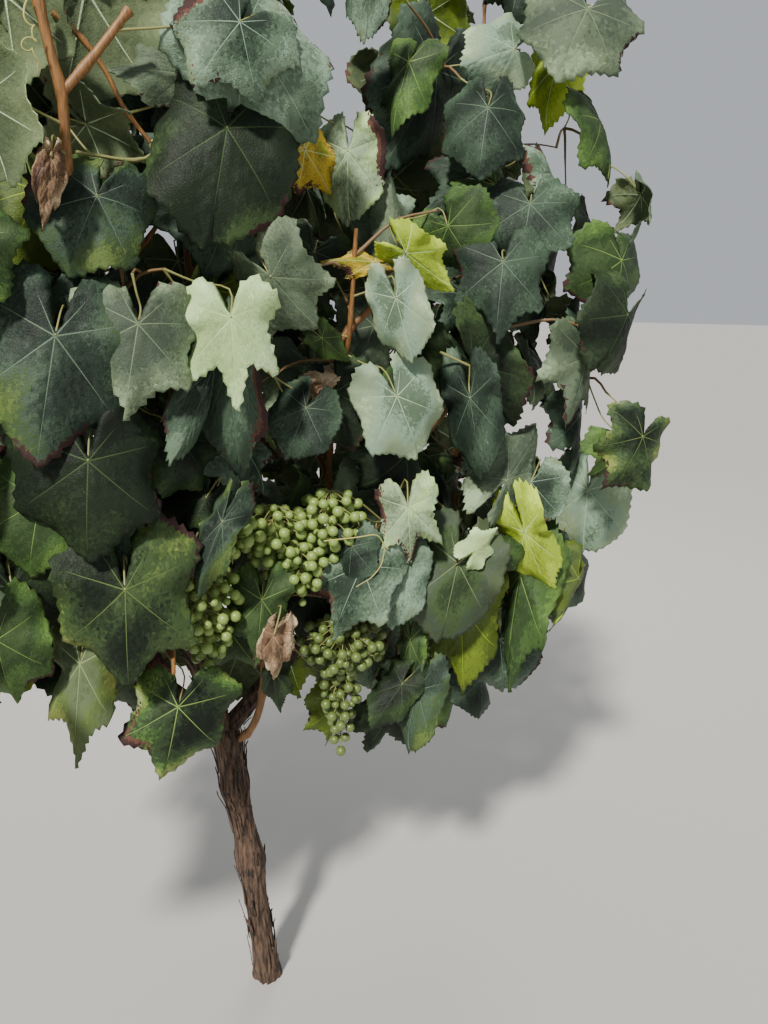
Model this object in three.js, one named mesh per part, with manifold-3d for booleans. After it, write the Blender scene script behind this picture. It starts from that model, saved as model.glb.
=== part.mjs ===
// A grapevine trained along a row, in late summer: a short leaning trunk, three old arms, the year's
// canes that rise from them, and the leaves and unripe grapes that the canes carry.
// Millimetres, +Z up, X along the row and Y across it. The origin is the middle of the flat cut where
// the trunk meets level ground.
import * as THREE from "three";
import { mergeVertices } from "three/addons/utils/BufferGeometryUtils.js";
import Module from "manifold-3d";

const wasm = await Module();
wasm.setup();

// Wood
const TRUNK = { waist: 19, flare: 6, flareHeight: 45, headSwell: 6, head: 470, sunk: 30 };
const KNOTS = [
  { height: 235, swell: 3.5, reach: 26 },
  { height: 362, swell: 3, reach: 20 },
];
const ARM = { base: 12.5, tip: 7.5 };
const CANE = { base: 5.4, tip: 4 };
const STEM = { base: 4.4, tip: 2.4, steps: 4, forks: [0.12, 0.36, 0.62, 0.88] };
const TWIG = { base: 2, tip: 0.9, longest: 160, tries: 24 };
const STALK = { base: 1, tip: 0.7, longest: 150 };
const JOINT_SPACING = 20;
const BEND_STEP = 80;
const FRINGE = 36;
const BOWS = [0, 22, -22, 40, -40, 60, -60, 80, -80];
const GAP = 0.3;
const CLEAR = 1;

// The crown: a hedge with a rounded top that dips where the sky shows between two groups of canes
const CROWN = { left: -545, right: 545, bottom: 415, top: 1510, dip: 280, dipAt: 190, dipWidth: 75 };
const SHOULDER = 230;
const HEM = { rise: 160, from: 70, to: -70 };
const DEPTH = { least: 120, bulge: 165, widestAt: 740, fade: 900 };
const LUMPS = { share: 0.14, along: 58, up: 95 };
const SPIRES = [
  { x: -395, rise: 60 },
  { x: -195, rise: 95 },
  { x: -30, rise: 70 },
  { x: 372, rise: 95 },
];
const SPIRE_WIDTH = 48;

// Where the eye stood, and the gaps that it saw the sky through, as places in the row's plane
const EYE = new THREE.Vector3(-343, -973, 1050);
const WINDOWS = [
  { x: -125, z: 1113, radius: 20 },
  { x: 175, z: 1250, radius: 24 },
  { x: 170, z: 1390, radius: 45 },
];
const WINDOW_DEPTH = 700;
const BUNCH_SHOWS = 0.3;

// Leaves: the rim's corners, as shares of the way from stalk to tip and turns from the tip in degrees
const LEAF = { width: 146, vary: 18, thick: 2, ridge: 0.22, droop: 0.24, cup: 0.1, tries: 60 };
const RIM = [
  { out: 1, turn: 0 },
  { out: 0.92, turn: 62 },
  { out: 0.8, turn: 138 },
  { out: 0.16, turn: 180 },
  { out: 0.8, turn: 222 },
  { out: 0.92, turn: 298 },
];
const WIDTH_OVER_REACH = 1.62;

// Masses of leaves: where each one's heart is, and how many leaves it carries
const COLUMNS = { far_left: -400, left: -160, right: 82, far_right: 330 };
const ROWS = { low: { z: 660, leaves: 12 }, mid: { z: 1000, leaves: 12 } };
const SIDES = { front: -1, back: 1 };
const HEART_DEPTH = 140;
const TOPS = { far_left: -400, left: -195, centre: -20, right: 360 };
const TOP = { z: 1300, leaves: 16 };
const UNEVEN = { x: 44, z: 80 };

// Bunches of grapes: the top of each one, and its length and width
const BUNCHES = [
  { mass: "low_front_left", top: [-96, -124, 762], length: 150, width: 90 },
  { mass: "low_front_right", top: [10, -122, 808], length: 108, width: 84 },
  { mass: "low_front_right", top: [80, -136, 822], length: 124, width: 92 },
  { mass: "low_front_right", top: [100, -124, 648], length: 178, width: 100 },
  { mass: "low_back_left", top: [-150, 120, 760], length: 140, width: 84 },
  { mass: "low_back_right", top: [70, 125, 740], length: 150, width: 86 },
  { mass: "low_back_far_right", top: [300, 110, 735], length: 135, width: 80 },
];
const BERRIES = { around: 12, rings: 9, swell: 0.15, shoulder: 0.62 };

// A small repeatable generator of numbers from 0 to 1
function seeded(seed) {
  let state = seed;
  return () => {
    state = (state * 48271) % 2147483647;
    return state / 2147483647;
  };
}

const mix = (a, b, share) => a + (b - a) * share;

// A geometry with one vertex at each place, so that bending it keeps it closed
function merged(geometry) {
  geometry.deleteAttribute("normal");
  geometry.deleteAttribute("uv");
  return mergeVertices(geometry, 1e-4);
}

function solidOf(geometry) {
  return new wasm.Manifold(
    new wasm.Mesh({
      numProp: 3,
      vertProperties: geometry.attributes.position.array,
      triVerts: Uint32Array.from(geometry.index.array),
    }),
  );
}

function geometryOf(solid) {
  const { numProp, vertProperties, triVerts } = solid.getMesh();
  const geometry = new THREE.BufferGeometry();
  geometry.setAttribute("position", new THREE.BufferAttribute(Float32Array.from(vertProperties), numProp));
  geometry.setIndex(new THREE.BufferAttribute(Uint32Array.from(triVerts), 1));
  geometry.computeVertexNormals();
  return geometry;
}

function curve(points) {
  return new THREE.CatmullRomCurve3(
    points.map((p) => new THREE.Vector3(...p)),
    false,
    "centripetal",
  );
}

// A closed tube along part of a path, its radius given at each share of the way
function limb(path, from, to, radiusAt, sides, steps) {
  const tube = merged(new THREE.CylinderGeometry(1, 1, 1, sides, steps));
  const chord = path.getPointAt(to).sub(path.getPointAt(from));
  const reference =
    Math.abs(chord.x) > Math.abs(chord.z) ? new THREE.Vector3(0, 0, 1) : new THREE.Vector3(1, 0, 0);
  const place = new THREE.Vector3();
  const position = tube.attributes.position;
  for (let i = 0; i < position.count; i++) {
    place.fromBufferAttribute(position, i);
    const share = place.y + 0.5;
    const along = mix(from, to, share);
    const tangent = path.getTangentAt(along);
    const across = new THREE.Vector3().crossVectors(reference, tangent).normalize();
    const other = new THREE.Vector3().crossVectors(across, tangent);
    const radius = radiusAt(share);
    const spot = path
      .getPointAt(along)
      .addScaledVector(across, place.x * radius)
      .addScaledVector(other, place.z * radius);
    position.setXYZ(i, spot.x, spot.y, spot.z);
  }
  return solidOf(tube);
}

const taper = (base, tip, grow = 0) => (share) => mix(base, tip, share) + grow;

// A straight three-sided twig or leaf stalk
function stick(start, end, base, tip) {
  return limb(new THREE.LineCurve3(start, end), 0, 1, taper(base, tip), 3, 1);
}

// The crown's outline
function crownTop(x) {
  const middle = (CROWN.left + CROWN.right) / 2;
  const out = Math.abs(x - middle) / ((CROWN.right - CROWN.left) / 2);
  const dip = CROWN.dip * Math.exp(-(((x - CROWN.dipAt) / CROWN.dipWidth) ** 2));
  const spires = SPIRES.map((s) => s.rise * Math.exp(-(((x - s.x) / SPIRE_WIDTH) ** 2)));
  return CROWN.top - dip - SHOULDER * out ** 4 + Math.max(...spires);
}

// Its lower edge is higher over the trunk and the left arms
const crownBottom = (x) => CROWN.bottom + HEM.rise * THREE.MathUtils.smoothstep(-x, -HEM.from, -HEM.to);

function crownDepth(x, z) {
  const off = Math.min(1, Math.abs(z - DEPTH.widestAt) / DEPTH.fade);
  const lumps = LUMPS.share * (Math.sin(x / LUMPS.along + 1.4 * Math.sin(z / LUMPS.up)) - 1);
  return (DEPTH.least + DEPTH.bulge * Math.cos((off * Math.PI) / 2)) * (1 + lumps);
}

function insideCrown(p, clear = 0) {
  return (
    p.x > CROWN.left + clear &&
    p.x < CROWN.right - clear &&
    p.z > crownBottom(p.x) + clear &&
    p.z < crownTop(p.x) - clear &&
    Math.abs(p.y) < crownDepth(p.x, p.z)
  );
}

// The trunk leans along the row as it rises, with a flared foot, two knots and a swollen head
const trunkPath = curve([
  [1, 0, -TRUNK.sunk],
  [0, 0, 0],
  [-10, -2, 120],
  [-19, 0, 235],
  [-35, 3, 360],
  [-46, 4, TRUNK.head],
]);

function trunkRadius(share) {
  const height = mix(-TRUNK.sunk, TRUNK.head, share);
  const flare = TRUNK.flare * Math.exp(-Math.max(0, height) / TRUNK.flareHeight);
  const knots = KNOTS.map((k) => k.swell * Math.exp(-(((height - k.height) / k.reach) ** 2)));
  const head = TRUNK.headSwell * Math.max(0, share - 0.8) * 5;
  const dome = Math.sqrt(Math.max(0.12, 1 - Math.max(0, (share - 0.93) / 0.07) ** 2));
  return (TRUNK.waist + flare + head + knots.reduce((a, b) => a + b)) * dome;
}

const makeTrunk = (grow) =>
  limb(trunkPath, 0, 1, (share) => trunkRadius(share) + grow, 10, 18).trimByPlane([0, 0, 1], 0);

// The old arms, and the cane that rises up the middle
const ARMS = {
  left_low: [
    [-44, 4, 452],
    [-130, 14, 548],
    [-250, 6, 606],
    [-370, 0, 640],
  ],
  left_steep: [
    [-46, 4, 462],
    [-88, -12, 590],
    [-126, -4, 730],
    [-140, 0, 800],
  ],
  right: [
    [-42, 4, 455],
    [38, -4, 540],
    [105, 0, 594],
    [240, 2, 662],
    [360, 0, 700],
  ],
};
const CENTRE_CANE = [
  [-40, 0, 436],
  [-20, -27, 462],
  [-4, -37, 506],
  [6, -30, 570],
  [8, -14, 650],
  [2, -6, 770],
  [-34, 0, 950],
  [-58, 0, 1110],
  [-50, -4, 1300],
  [-40, 4, 1500],
];

const armPaths = Object.fromEntries(Object.entries(ARMS).map(([name, points]) => [name, curve(points)]));

// Every mass with its heart, its share of the leaves and the arm that feeds it
const masses = [];
for (const [row, { z, leaves }] of Object.entries(ROWS))
  for (const [column, x] of Object.entries(COLUMNS))
    for (const [side, sign] of Object.entries(SIDES))
      masses.push({
        name: `${row}_${side}_${column}`,
        row,
        sign,
        leaves,
        heart: new THREE.Vector3(x, sign * HEART_DEPTH, z),
        arm: x > 0 ? "right" : column === "left" ? "left_steep" : "left_low",
      });
for (const [column, x] of Object.entries(TOPS))
  masses.push({
    name: `top_${column}`,
    row: "top",
    sign: 0,
    leaves: TOP.leaves,
    heart: new THREE.Vector3(x, 0, TOP.z),
    arm: column === "centre" ? null : x > 0 ? "right" : "left_low",
  });
masses.forEach((mass, i) => {
  mass.seed = 7919 * (i + 3);
  const draw = seeded(mass.seed + 1);
  mass.heart.x += (draw() - 0.5) * UNEVEN.x;
  mass.heart.z += (draw() - 0.5) * UNEVEN.z;
});

// A mass's own space is the part of the crown nearer to its heart than to any other heart
function inSpace(p, mass, clear) {
  return masses.every((other) => {
    if (other === mass) return true;
    const apart = other.heart.distanceTo(mass.heart);
    return (p.distanceToSquared(other.heart) - p.distanceToSquared(mass.heart)) / (2 * apart) > clear;
  });
}

// The way of a cane: out of its arm, up between the masses, through its mass's heart and on
function canePath({ heart, row, sign }, start, bow) {
  const crest = heart.clone();
  if (row === "low") crest.add(new THREE.Vector3((heart.x - start.x) * 0.3, sign * 62, -30));
  if (row === "mid") crest.add(new THREE.Vector3((heart.x - start.x) * 0.1, sign * 30, 120));
  if (row === "top") crest.z = crownTop(heart.x) - 55;
  const rise = row === "low" ? 0.75 : 0.55;
  const bend = new THREE.Vector3(
    mix(start.x, heart.x, 0.45) + 0.4 * bow,
    sign * (row === "low" ? 45 : 26) + bow,
    mix(start.z, heart.z, rise) + (row === "low" ? 26 : 0),
  );
  return new THREE.CatmullRomCurve3([start, bend, heart.clone(), crest], false, "centripetal");
}

const ENTRY = { low: 78, mid: 120, top: 150 };

// The share of a cane at which it enters its mass
function entryOf(path, mass) {
  for (let share = 0.02; share < 1; share += 0.01) {
    const spot = path.getPointAt(share);
    if (inSpace(spot, mass, 12) && spot.distanceTo(mass.heart) < ENTRY[mass.row]) return share;
  }
  throw new Error(`the cane of ${mass.name} never enters it`);
}

const boxesMeet = (a, b) => [0, 1, 2].every((k) => a.min[k] <= b.max[k] && b.min[k] <= a.max[k]);

const touches = (solid, others) => {
  const box = solid.boundingBox();
  return others.some((other) => boxesMeet(box, other.boundingBox()) && !solid.intersect(other).isEmpty());
};

const largest = (solid) => solid.decompose().sort((a, b) => b.volume() - a.volume())[0];

// Each limb as it is, and a little grown, to keep the others and the leaves clear of it
const limbs = new Map();
limbs.set("trunk", { solid: makeTrunk(0), grown: makeTrunk(CLEAR) });
const cuts = { trunk: makeTrunk(GAP) };
for (const [name, path] of Object.entries(armPaths)) {
  const whole = (grow) => limb(path, 0, 1, taper(ARM.base, ARM.tip, grow), 8, 7);
  let solid = whole(0);
  for (const cut of Object.values(cuts)) solid = solid.subtract(cut);
  cuts[name] = whole(GAP);
  limbs.set(`arm_${name}`, { solid: largest(solid), grown: whole(CLEAR) });
}

// Canes leave an arm evenly spaced, in the order of the hearts that they feed
for (const arm of Object.keys(ARMS)) {
  const fed = masses.filter((m) => m.arm === arm).sort((a, b) => a.heart.x - b.heart.x);
  if (arm.startsWith("left")) fed.reverse();
  fed.forEach((mass, i) => {
    mass.start = armPaths[arm].getPointAt(mix(0.34, 0.965, i / (fed.length - 1)));
  });
}

// A cane bows a little to either side where it would run into a limb that is already there
const ways = [];
const fullWay = (path) => limb(path, 0.06, 1, taper(CANE.base, STEM.base, CLEAR), 6, 12);
for (const mass of masses) {
  const others = [...limbs].filter(([name]) => name !== `arm_${mass.arm}`).map(([, other]) => other.grown);
  const paths = mass.arm ? BOWS.map((bow) => canePath(mass, mass.start, bow)) : [curve(CENTRE_CANE)];
  mass.path = paths.find((path) => !touches(fullWay(path), [...ways, ...others]));
  if (!mass.path) throw new Error(`the cane of ${mass.name} finds no clear way`);
  ways.push(fullWay(mass.path));
  mass.entry = entryOf(mass.path, mass);
}
for (const mass of masses) {
  const steps = Math.max(3, Math.round((mass.entry * mass.path.getLength()) / BEND_STEP));
  const whole = (grow) => limb(mass.path, 0, mass.entry, taper(CANE.base, CANE.tip, grow), 5, steps);
  const solid = largest(whole(0).subtract(cuts[mass.arm ?? "trunk"]));
  limbs.set(`cane_${mass.name}`, { solid, grown: whole(CLEAR) });
}

// A place on a leaf: forward to its tip, aside, and up along its facing, with the blade's own bend
function bladeSpot({ place, normal, tip, width }, forward, aside, lift) {
  const reach = width / WIDTH_OVER_REACH;
  const fall = LEAF.droop * Math.max(0, forward) ** 2 + LEAF.cup * Math.abs(aside);
  return place
    .clone()
    .addScaledVector(tip, forward * reach)
    .addScaledVector(new THREE.Vector3().crossVectors(normal, tip), aside * reach)
    .addScaledVector(normal, lift - fall * reach);
}

// A leaf blade: a thin lobed disc, thickest on a ridge just in front of the stalk
function blade(site, thick = LEAF.thick) {
  const profile = [new THREE.Vector2(0, -1), new THREE.Vector2(1, 0), new THREE.Vector2(0, 1)];
  const disc = merged(new THREE.LatheGeometry(profile, RIM.length));
  const position = disc.attributes.position;
  for (let i = 0; i < position.count; i++) {
    const onRim = Math.hypot(position.getX(i), position.getZ(i)) > 0.5;
    const around = Math.atan2(position.getX(i), position.getZ(i)) / (2 * Math.PI);
    const corner = RIM[(Math.round(around * RIM.length) + RIM.length) % RIM.length];
    const turn = THREE.MathUtils.degToRad(corner.turn);
    const forward = onRim ? corner.out * Math.cos(turn) : LEAF.ridge;
    const aside = onRim ? corner.out * Math.sin(turn) : 0;
    const spot = bladeSpot(site, forward, aside, position.getY(i) * thick);
    position.setXYZ(i, spot.x, spot.y, spot.z);
  }
  return solidOf(disc);
}

// Which way a leaf faces: out of the hedge and up, with its tip hanging down
function pose(place, draw) {
  const outward = new THREE.Vector3(
    0.9 * ((place.x - (CROWN.left + CROWN.right) / 2) / 520) ** 3,
    place.y / crownDepth(place.x, place.z),
    0.2 + 0.8 * THREE.MathUtils.smoothstep(place.z, 1330, 1560),
  );
  const normal = outward
    .normalize()
    .add(new THREE.Vector3(draw() - 0.5, draw() - 0.5, draw() - 0.3))
    .normalize();
  const tip = new THREE.Vector3(1.5 * (draw() - 0.5), 0.35 * normal.y, -1);
  tip.addScaledVector(normal, -tip.dot(normal)).normalize();
  return { normal, tip, width: LEAF.width + (draw() - 0.5) * 2 * LEAF.vary };
}

// A place for a leaf: the one of a few seeded places that has the most room around it
function leafPlace(mass, draw, taken) {
  let best = null;
  for (let tries = 0; tries < 16; tries++) {
    const x = mass.heart.x + (draw() - 0.5) * 340;
    const z = mass.heart.z + (draw() - 0.5) * 600;
    const outer = draw() ** 0.55;
    const side = mass.sign || (draw() < 0.5 ? -1 : 1);
    const place = new THREE.Vector3(x, side * crownDepth(x, z) * outer, z);
    if (!insideCrown(place, LEAF.width / 3) || !inSpace(place, mass, LEAF.width / 6)) continue;
    const room = Math.min(500, ...taken.map((other) => other.distanceTo(place)));
    if (!best || room > best.room) best = { room, place };
  }
  return best?.place;
}

// A bunch's grapes: a cone with broad shoulders, its surface swollen into berries
function berryCone({ top, length, width }) {
  const { around, rings, swell } = BERRIES;
  const cone = merged(new THREE.SphereGeometry(1, around, rings));
  const position = cone.attributes.position;
  const hang = new THREE.Vector3(...top);
  for (let i = 0; i < position.count; i++) {
    const spot = new THREE.Vector3().fromBufferAttribute(position, i);
    const fall = Math.acos(Math.max(-1, Math.min(1, spot.y))) / Math.PI;
    const turn = Math.atan2(spot.z, spot.x);
    const ring = Math.round(fall * rings);
    const column = Math.round((turn / (2 * Math.PI)) * around) + around;
    const berry = (column + 2 * ring) % 3 === 0 ? 1 + swell : 1 - swell;
    const wide = 0.5 * width * Math.sin(Math.PI * fall ** BERRIES.shoulder) ** 0.7;
    const out = Math.max(0, wide) * berry;
    spot.set(out * Math.cos(turn), -out * Math.sin(turn), -fall * length).add(hang);
    position.setXYZ(i, spot.x, spot.y, spot.z);
  }
  return solidOf(cone);
}

const cones = BUNCHES.map(berryCone);
const grownLimbs = [...limbs.values()].map(({ grown }) => grown);
const fused = [];

// What stays open: the lines of sight through the windows and to the bunches on the eye's side
function sightTo(seen, beyond, radius) {
  const way = seen.clone().sub(EYE).normalize();
  const line = new THREE.LineCurve3(EYE, seen.clone().addScaledVector(way, beyond));
  return limb(line, 0, 1, taper(0.3 * radius, radius), 8, 1);
}

const openViews = WINDOWS.map(({ x, z, radius }) =>
  sightTo(new THREE.Vector3(x, 0, z), WINDOW_DEPTH, radius),
);
for (const { top, length, width } of BUNCHES)
  if (top[1] < 0) {
    const middle = new THREE.Vector3(0, 0, -0.45 * length).add(new THREE.Vector3(...top));
    openViews.push(sightTo(middle, -0.3 * width, BUNCH_SHOWS * width));
  }

function corners(solid) {
  const { numProp, vertProperties } = solid.getMesh();
  const found = [];
  for (let i = 0; i < vertProperties.length; i += numProp)
    found.push(new THREE.Vector3().fromArray(vertProperties, i));
  return found;
}

const fits = (solid, mass) =>
  corners(solid).every((p) => insideCrown(p) && inSpace(p, mass, -FRINGE));

const nearest = (joints, place) =>
  joints.reduce((a, b) => (b.distanceTo(place) < a.distanceTo(place) ? b : a));

// Joints for stalks, evenly along part of a path
function jointsAlong(path, from, to) {
  const length = (to - from) * path.getLength();
  const count = Math.max(1, Math.round(length / JOINT_SPACING));
  return Array.from({ length: count }, (_, k) => path.getPointAt(mix(from, to, (k + 1) / count)));
}

// A leaf at the end of a stalk that starts at a joint, or nothing where it would be in the way
function leafOn(foot, site, { base, tip }, mass, others) {
  const leaf = blade(site);
  const wider = blade({ ...site, width: site.width + 3 }, LEAF.thick + 0.6);
  const inTheWay = [...grownLimbs, ...fused, ...cones, ...openViews];
  if (!fits(leaf, mass) || touches(wider, inTheWay) || touches(leaf, others)) return null;
  const root = bladeSpot(site, 0.55 * LEAF.ridge, 0.025, 0);
  const stalk = stick(foot, root, base, tip);
  if (!fits(stalk, mass) || touches(stick(foot, root, base + 0.6, tip + 0.6), inTheWay)) return null;
  return { leaf, stalk, middle: bladeSpot(site, 0.3, 0, 0), path: new THREE.LineCurve3(foot, root) };
}

// Side twigs leave the stem one after another, turned by the golden angle, and end in a leaf
function sideTwigs(mass, forks, draw, others) {
  const twigs = [];
  const golden = Math.PI * (3 - Math.sqrt(5));
  let turn = draw() * 2 * Math.PI;
  for (const start of forks)
    for (let tries = 0; tries < TWIG.tries; tries++) {
      turn += golden;
      const way = new THREE.Vector3(Math.cos(turn), Math.sin(turn), 0.9 * (draw() - 0.35)).normalize();
      let out = 20;
      while (out < 260) {
        const ahead = start.clone().addScaledVector(way, out);
        if (!insideCrown(ahead) || !inSpace(ahead, mass, 4)) break;
        out += 10;
      }
      const place = start.clone().addScaledVector(way, Math.min(out - 40, TWIG.longest));
      if (out < 90) continue;
      const made = leafOn(start, { place, ...pose(place, draw) }, TWIG, mass, others);
      if (!made || touches(made.stalk, twigs.map((twig) => twig.leaf))) continue;
      twigs.push(made);
      others.push(made.leaf);
      break;
    }
  return twigs;
}

// A bunch hangs from a stalk that starts at the nearest joint
function bunch({ top, length }, cone, joints) {
  const hang = new THREE.Vector3(...top);
  const heart = new THREE.Vector3(0, 0, -0.3 * length).add(hang);
  return wasm.Manifold.union([cone, stick(nearest(joints, hang), heart, TWIG.base, TWIG.tip)]);
}

// One mass of leaves: its stem and side twigs, its bunches and its leaves, fused
function growMass(mass) {
  const { path, entry } = mass;
  const draw = seeded(mass.seed);
  const start = entry + GAP / path.getLength();
  const stem = limb(path, start, 1, taper(STEM.base, STEM.tip), 4, STEM.steps);
  const forks = STEM.forks.map((share) => path.getPointAt(mix(start, 1, share)));
  const nodes = jointsAlong(path, start, 0.99);
  const bunches = BUNCHES.flatMap((one, i) => (one.mass === mass.name ? [bunch(one, cones[i], nodes)] : []));
  const strays = (one) => corners(one).some((p) => !inSpace(p, mass, -FRINGE));
  if (bunches.some((one) => touches(one, [...grownLimbs, ...fused]) || strays(one)))
    throw new Error(`a bunch of ${mass.name} leaves its space`);
  const twigs = sideTwigs(mass, forks, draw, [stem, ...bunches]);
  let joints = [...nodes, ...twigs.flatMap((twig) => jointsAlong(twig.path, 0.25, 0.75))];
  const blades = twigs.map((twig) => twig.leaf);
  const stalks = [];
  const taken = twigs.map((twig) => twig.middle);
  for (let n = twigs.length; n < mass.leaves; n++) {
    for (let tries = 0; tries < LEAF.tries; tries++) {
      const place = leafPlace(mass, draw, taken);
      if (!place) continue;
      const foot = nearest(joints, place);
      if (foot.distanceTo(place) > STALK.longest) continue;
      const wood = [stem, ...twigs.map((twig) => twig.stalk), ...stalks];
      const site = { place, ...pose(place, draw) };
      const made = leafOn(foot, site, STALK, mass, [...wood, ...blades, ...bunches]);
      if (!made || touches(made.stalk, [...blades, ...stalks])) continue;
      blades.push(made.leaf);
      stalks.push(made.stalk);
      taken.push(made.middle);
      joints = joints.filter((joint) => joint !== foot);
      break;
    }
  }
  const parts = [stem, ...bunches, ...blades, ...twigs.map((twig) => twig.stalk), ...stalks];
  fused.push(largest(wasm.Manifold.union(parts)));
  return fused.at(-1);
}

const bark = new THREE.MeshStandardMaterial({ color: 0x6b5546, roughness: 0.95, metalness: 0 });
const caneSkin = new THREE.MeshStandardMaterial({ color: 0x96592f, roughness: 0.7, metalness: 0 });
const leafSkin = new THREE.MeshStandardMaterial({ color: 0x54705a, roughness: 0.75, metalness: 0 });

const wood = new THREE.Group();
for (const [name, { solid }] of limbs) {
  const skin = name.startsWith("cane") ? caneSkin : bark;
  const mesh = new THREE.Mesh(geometryOf(solid), skin.clone());
  mesh.name = name;
  wood.add(mesh);
}

const foliage = new THREE.Group();
for (const mass of masses) {
  const mesh = new THREE.Mesh(geometryOf(growMass(mass)), leafSkin.clone());
  mesh.name = `leaves_${mass.name}`;
  foliage.add(mesh);
}

const vine = new THREE.Group();
vine.add(wood, foliage);

export default vine;
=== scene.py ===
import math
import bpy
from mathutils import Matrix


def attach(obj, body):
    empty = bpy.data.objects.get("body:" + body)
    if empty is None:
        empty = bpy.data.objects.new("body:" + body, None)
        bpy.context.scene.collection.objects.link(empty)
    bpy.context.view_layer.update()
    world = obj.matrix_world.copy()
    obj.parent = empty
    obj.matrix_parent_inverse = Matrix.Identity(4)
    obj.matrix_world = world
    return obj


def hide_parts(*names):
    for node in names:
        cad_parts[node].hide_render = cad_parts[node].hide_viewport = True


bl_info = {
    "name": "Grapevine",
    "version": (1, 0, 0),
    "blender": (4, 5, 0),
    "location": "3D View > Sidebar > Grapevine",
    "description": "A trained grapevine in late summer: bark, canes, leaves and unripe grapes",
    "category": "Object",
}

import bmesh
import bpy
import numpy as np
from bpy.props import FloatProperty, FloatVectorProperty, IntProperty, PointerProperty
from mathutils import Vector
from mathutils.bvhtree import BVHTree
from mathutils.geometry import delaunay_2d_cdt

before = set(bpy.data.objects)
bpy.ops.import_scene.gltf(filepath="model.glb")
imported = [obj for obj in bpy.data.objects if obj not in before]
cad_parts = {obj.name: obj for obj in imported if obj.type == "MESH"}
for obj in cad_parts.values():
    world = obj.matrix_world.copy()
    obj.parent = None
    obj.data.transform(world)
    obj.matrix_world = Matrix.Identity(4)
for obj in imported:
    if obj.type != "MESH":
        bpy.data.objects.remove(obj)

MM = 0.001
FULL_TURN = 6.28
NODES = list(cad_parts)

# The rule of growth, in millimetres and as in the solids: X along the row, Y across it, Z up
TRUNK = {"waist": 16.5, "flare": 5, "flare_height": 45, "head_swell": 6, "head": 470, "sunk": 30}
KNOTS = [(232, 4.5, 26), (362, 4.5, 20)]
ARM = (12.5, 7.5)
CANE = (5.4, 4.0)
STEM_TIP = 2.2
CROWN = {"left": -545, "right": 545, "bottom": 415, "top": 1510, "dip": 280, "dip_at": 190, "dip_width": 75}
SHOULDER = 230
HEM = (160, -70, 70)
DEPTH = {"least": 120, "bulge": 165, "widest_at": 740, "fade": 900}
LUMPS = {"share": 0.14, "along": 58, "up": 95}
SPIRES = [(-395, 60), (-195, 95), (-30, 70), (372, 95)]
SPIRE_WIDTH = 48
WINDOWS = [(-125, 1113, 20), (175, 1250, 24), (170, 1390, 45)]
COLUMNS = {"far_left": -400, "left": -160, "right": 82, "far_right": 330}
ROWS = {"low": 660, "mid": 1000}
SIDES = {"front": -1, "back": 1}
HEART_DEPTH = 140
TOPS = {"far_left": -400, "left": -195, "centre": -20, "right": 360}
TOP_HEIGHT = 1300
UNEVEN = (44, 80)
BOW = {"top_left": -22}
SHOWN_TO = {"low_front_right": 0.8}
REACH = ((-566, -288, 330), (562, 276, 1580))
ENTRY = {"low": 78, "mid": 120, "top": 150}
FORKS = (0.12, 0.36, 0.62, 0.88)
TRUNK_WAY = [(1, 0, -30), (0, 0, 0), (-10, -2, 120), (-19, 0, 235), (-35, 3, 360), (-46, 4, 470)]
ARM_WAYS = {
    "left_low": [(-44, 4, 452), (-130, 14, 548), (-250, 6, 606), (-370, 0, 640)],
    "left_steep": [(-46, 4, 462), (-88, -12, 590), (-126, -4, 730), (-140, 0, 800)],
    "right": [(-42, 4, 455), (38, -4, 540), (105, 0, 594), (240, 2, 662), (360, 0, 700)],
}
CENTRE_CANE = [
    (-40, 0, 436),
    (-20, -27, 462),
    (-4, -37, 506),
    (6, -30, 570),
    (8, -14, 650),
    (2, -6, 770),
    (-34, 0, 950),
    (-58, 0, 1110),
    (-50, -4, 1300),
    (-40, 4, 1500),
]
BUNCHES = [
    ("low_front_left", (-102, -124, 760), 152, 96),
    ("low_front_left", (-68, -140, 818), 66, 62),
    ("low_front_right", (-6, -122, 820), 118, 88),
    ("low_front_right", (62, -136, 832), 112, 92),
    ("low_front_right", (20, -140, 772), 92, 66),
    ("low_front_right", (84, -124, 650), 96, 122),
    ("low_front_right", (76, -128, 596), 150, 62),
    ("low_back_left", (-150, 120, 760), 140, 84),
    ("low_back_right", (70, 125, 740), 150, 86),
    ("low_back_far_right", (300, 110, 735), 135, 80),
]

# The bunches that hang below this height get their berries painted darker by this share, a painted shade
# for the shade they hang in under the leaves
LOW_BUNCH = 700
LOW_BUNCH_SHADE = 0.5

# A bunch's fullness by the share of its length, and how its berries are dealt out
BUNCH_FORM = (0.62, 0.7)
BERRY_TRIES = 2600
BERRY_ROOM = 1.13
SMALL_BERRIES = 0.06
SMALL_BERRY = 0.72

# Knots and joints along a cane, and the turns of a tendril
KNOT_SPACING = {"cane": 72, "shoot": 64}
KNOT_SWELL = 0.4
KNOT_REACH = 5
JOINT_STEP = 24
POINT_STEP = 9
TENDRIL_TURN = 34

# Side twigs: how many ways are tried, and how far they may reach
TWIG_TRIES = 24
TWIG_ROOM = (90, 260)
TWIG_REACH = 150

# Stalks: how many joints are tried, and from what length on they leave a twig instead
STALK_JOINTS = 14
LONG_STALK = 120
FORKED_STALK = 80

# Leaves that are dealt out: how often one is tried, how many places for it, and how far they spread
LEAF_TRIES = 30
PLACE_TRIES = 16
SPREAD = (340, 600)

# How many more leaves the top masses carry, and a leaf's width by its length from the stalk
TOP_SHARE = 1.35
LEAF_RATIO = 1.55

# Fixed seeds
MASS_SEED = 7919
TOLD_SEED = 500
BUNCH_SEED = 977
SHRED_SEED = 4021

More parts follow.
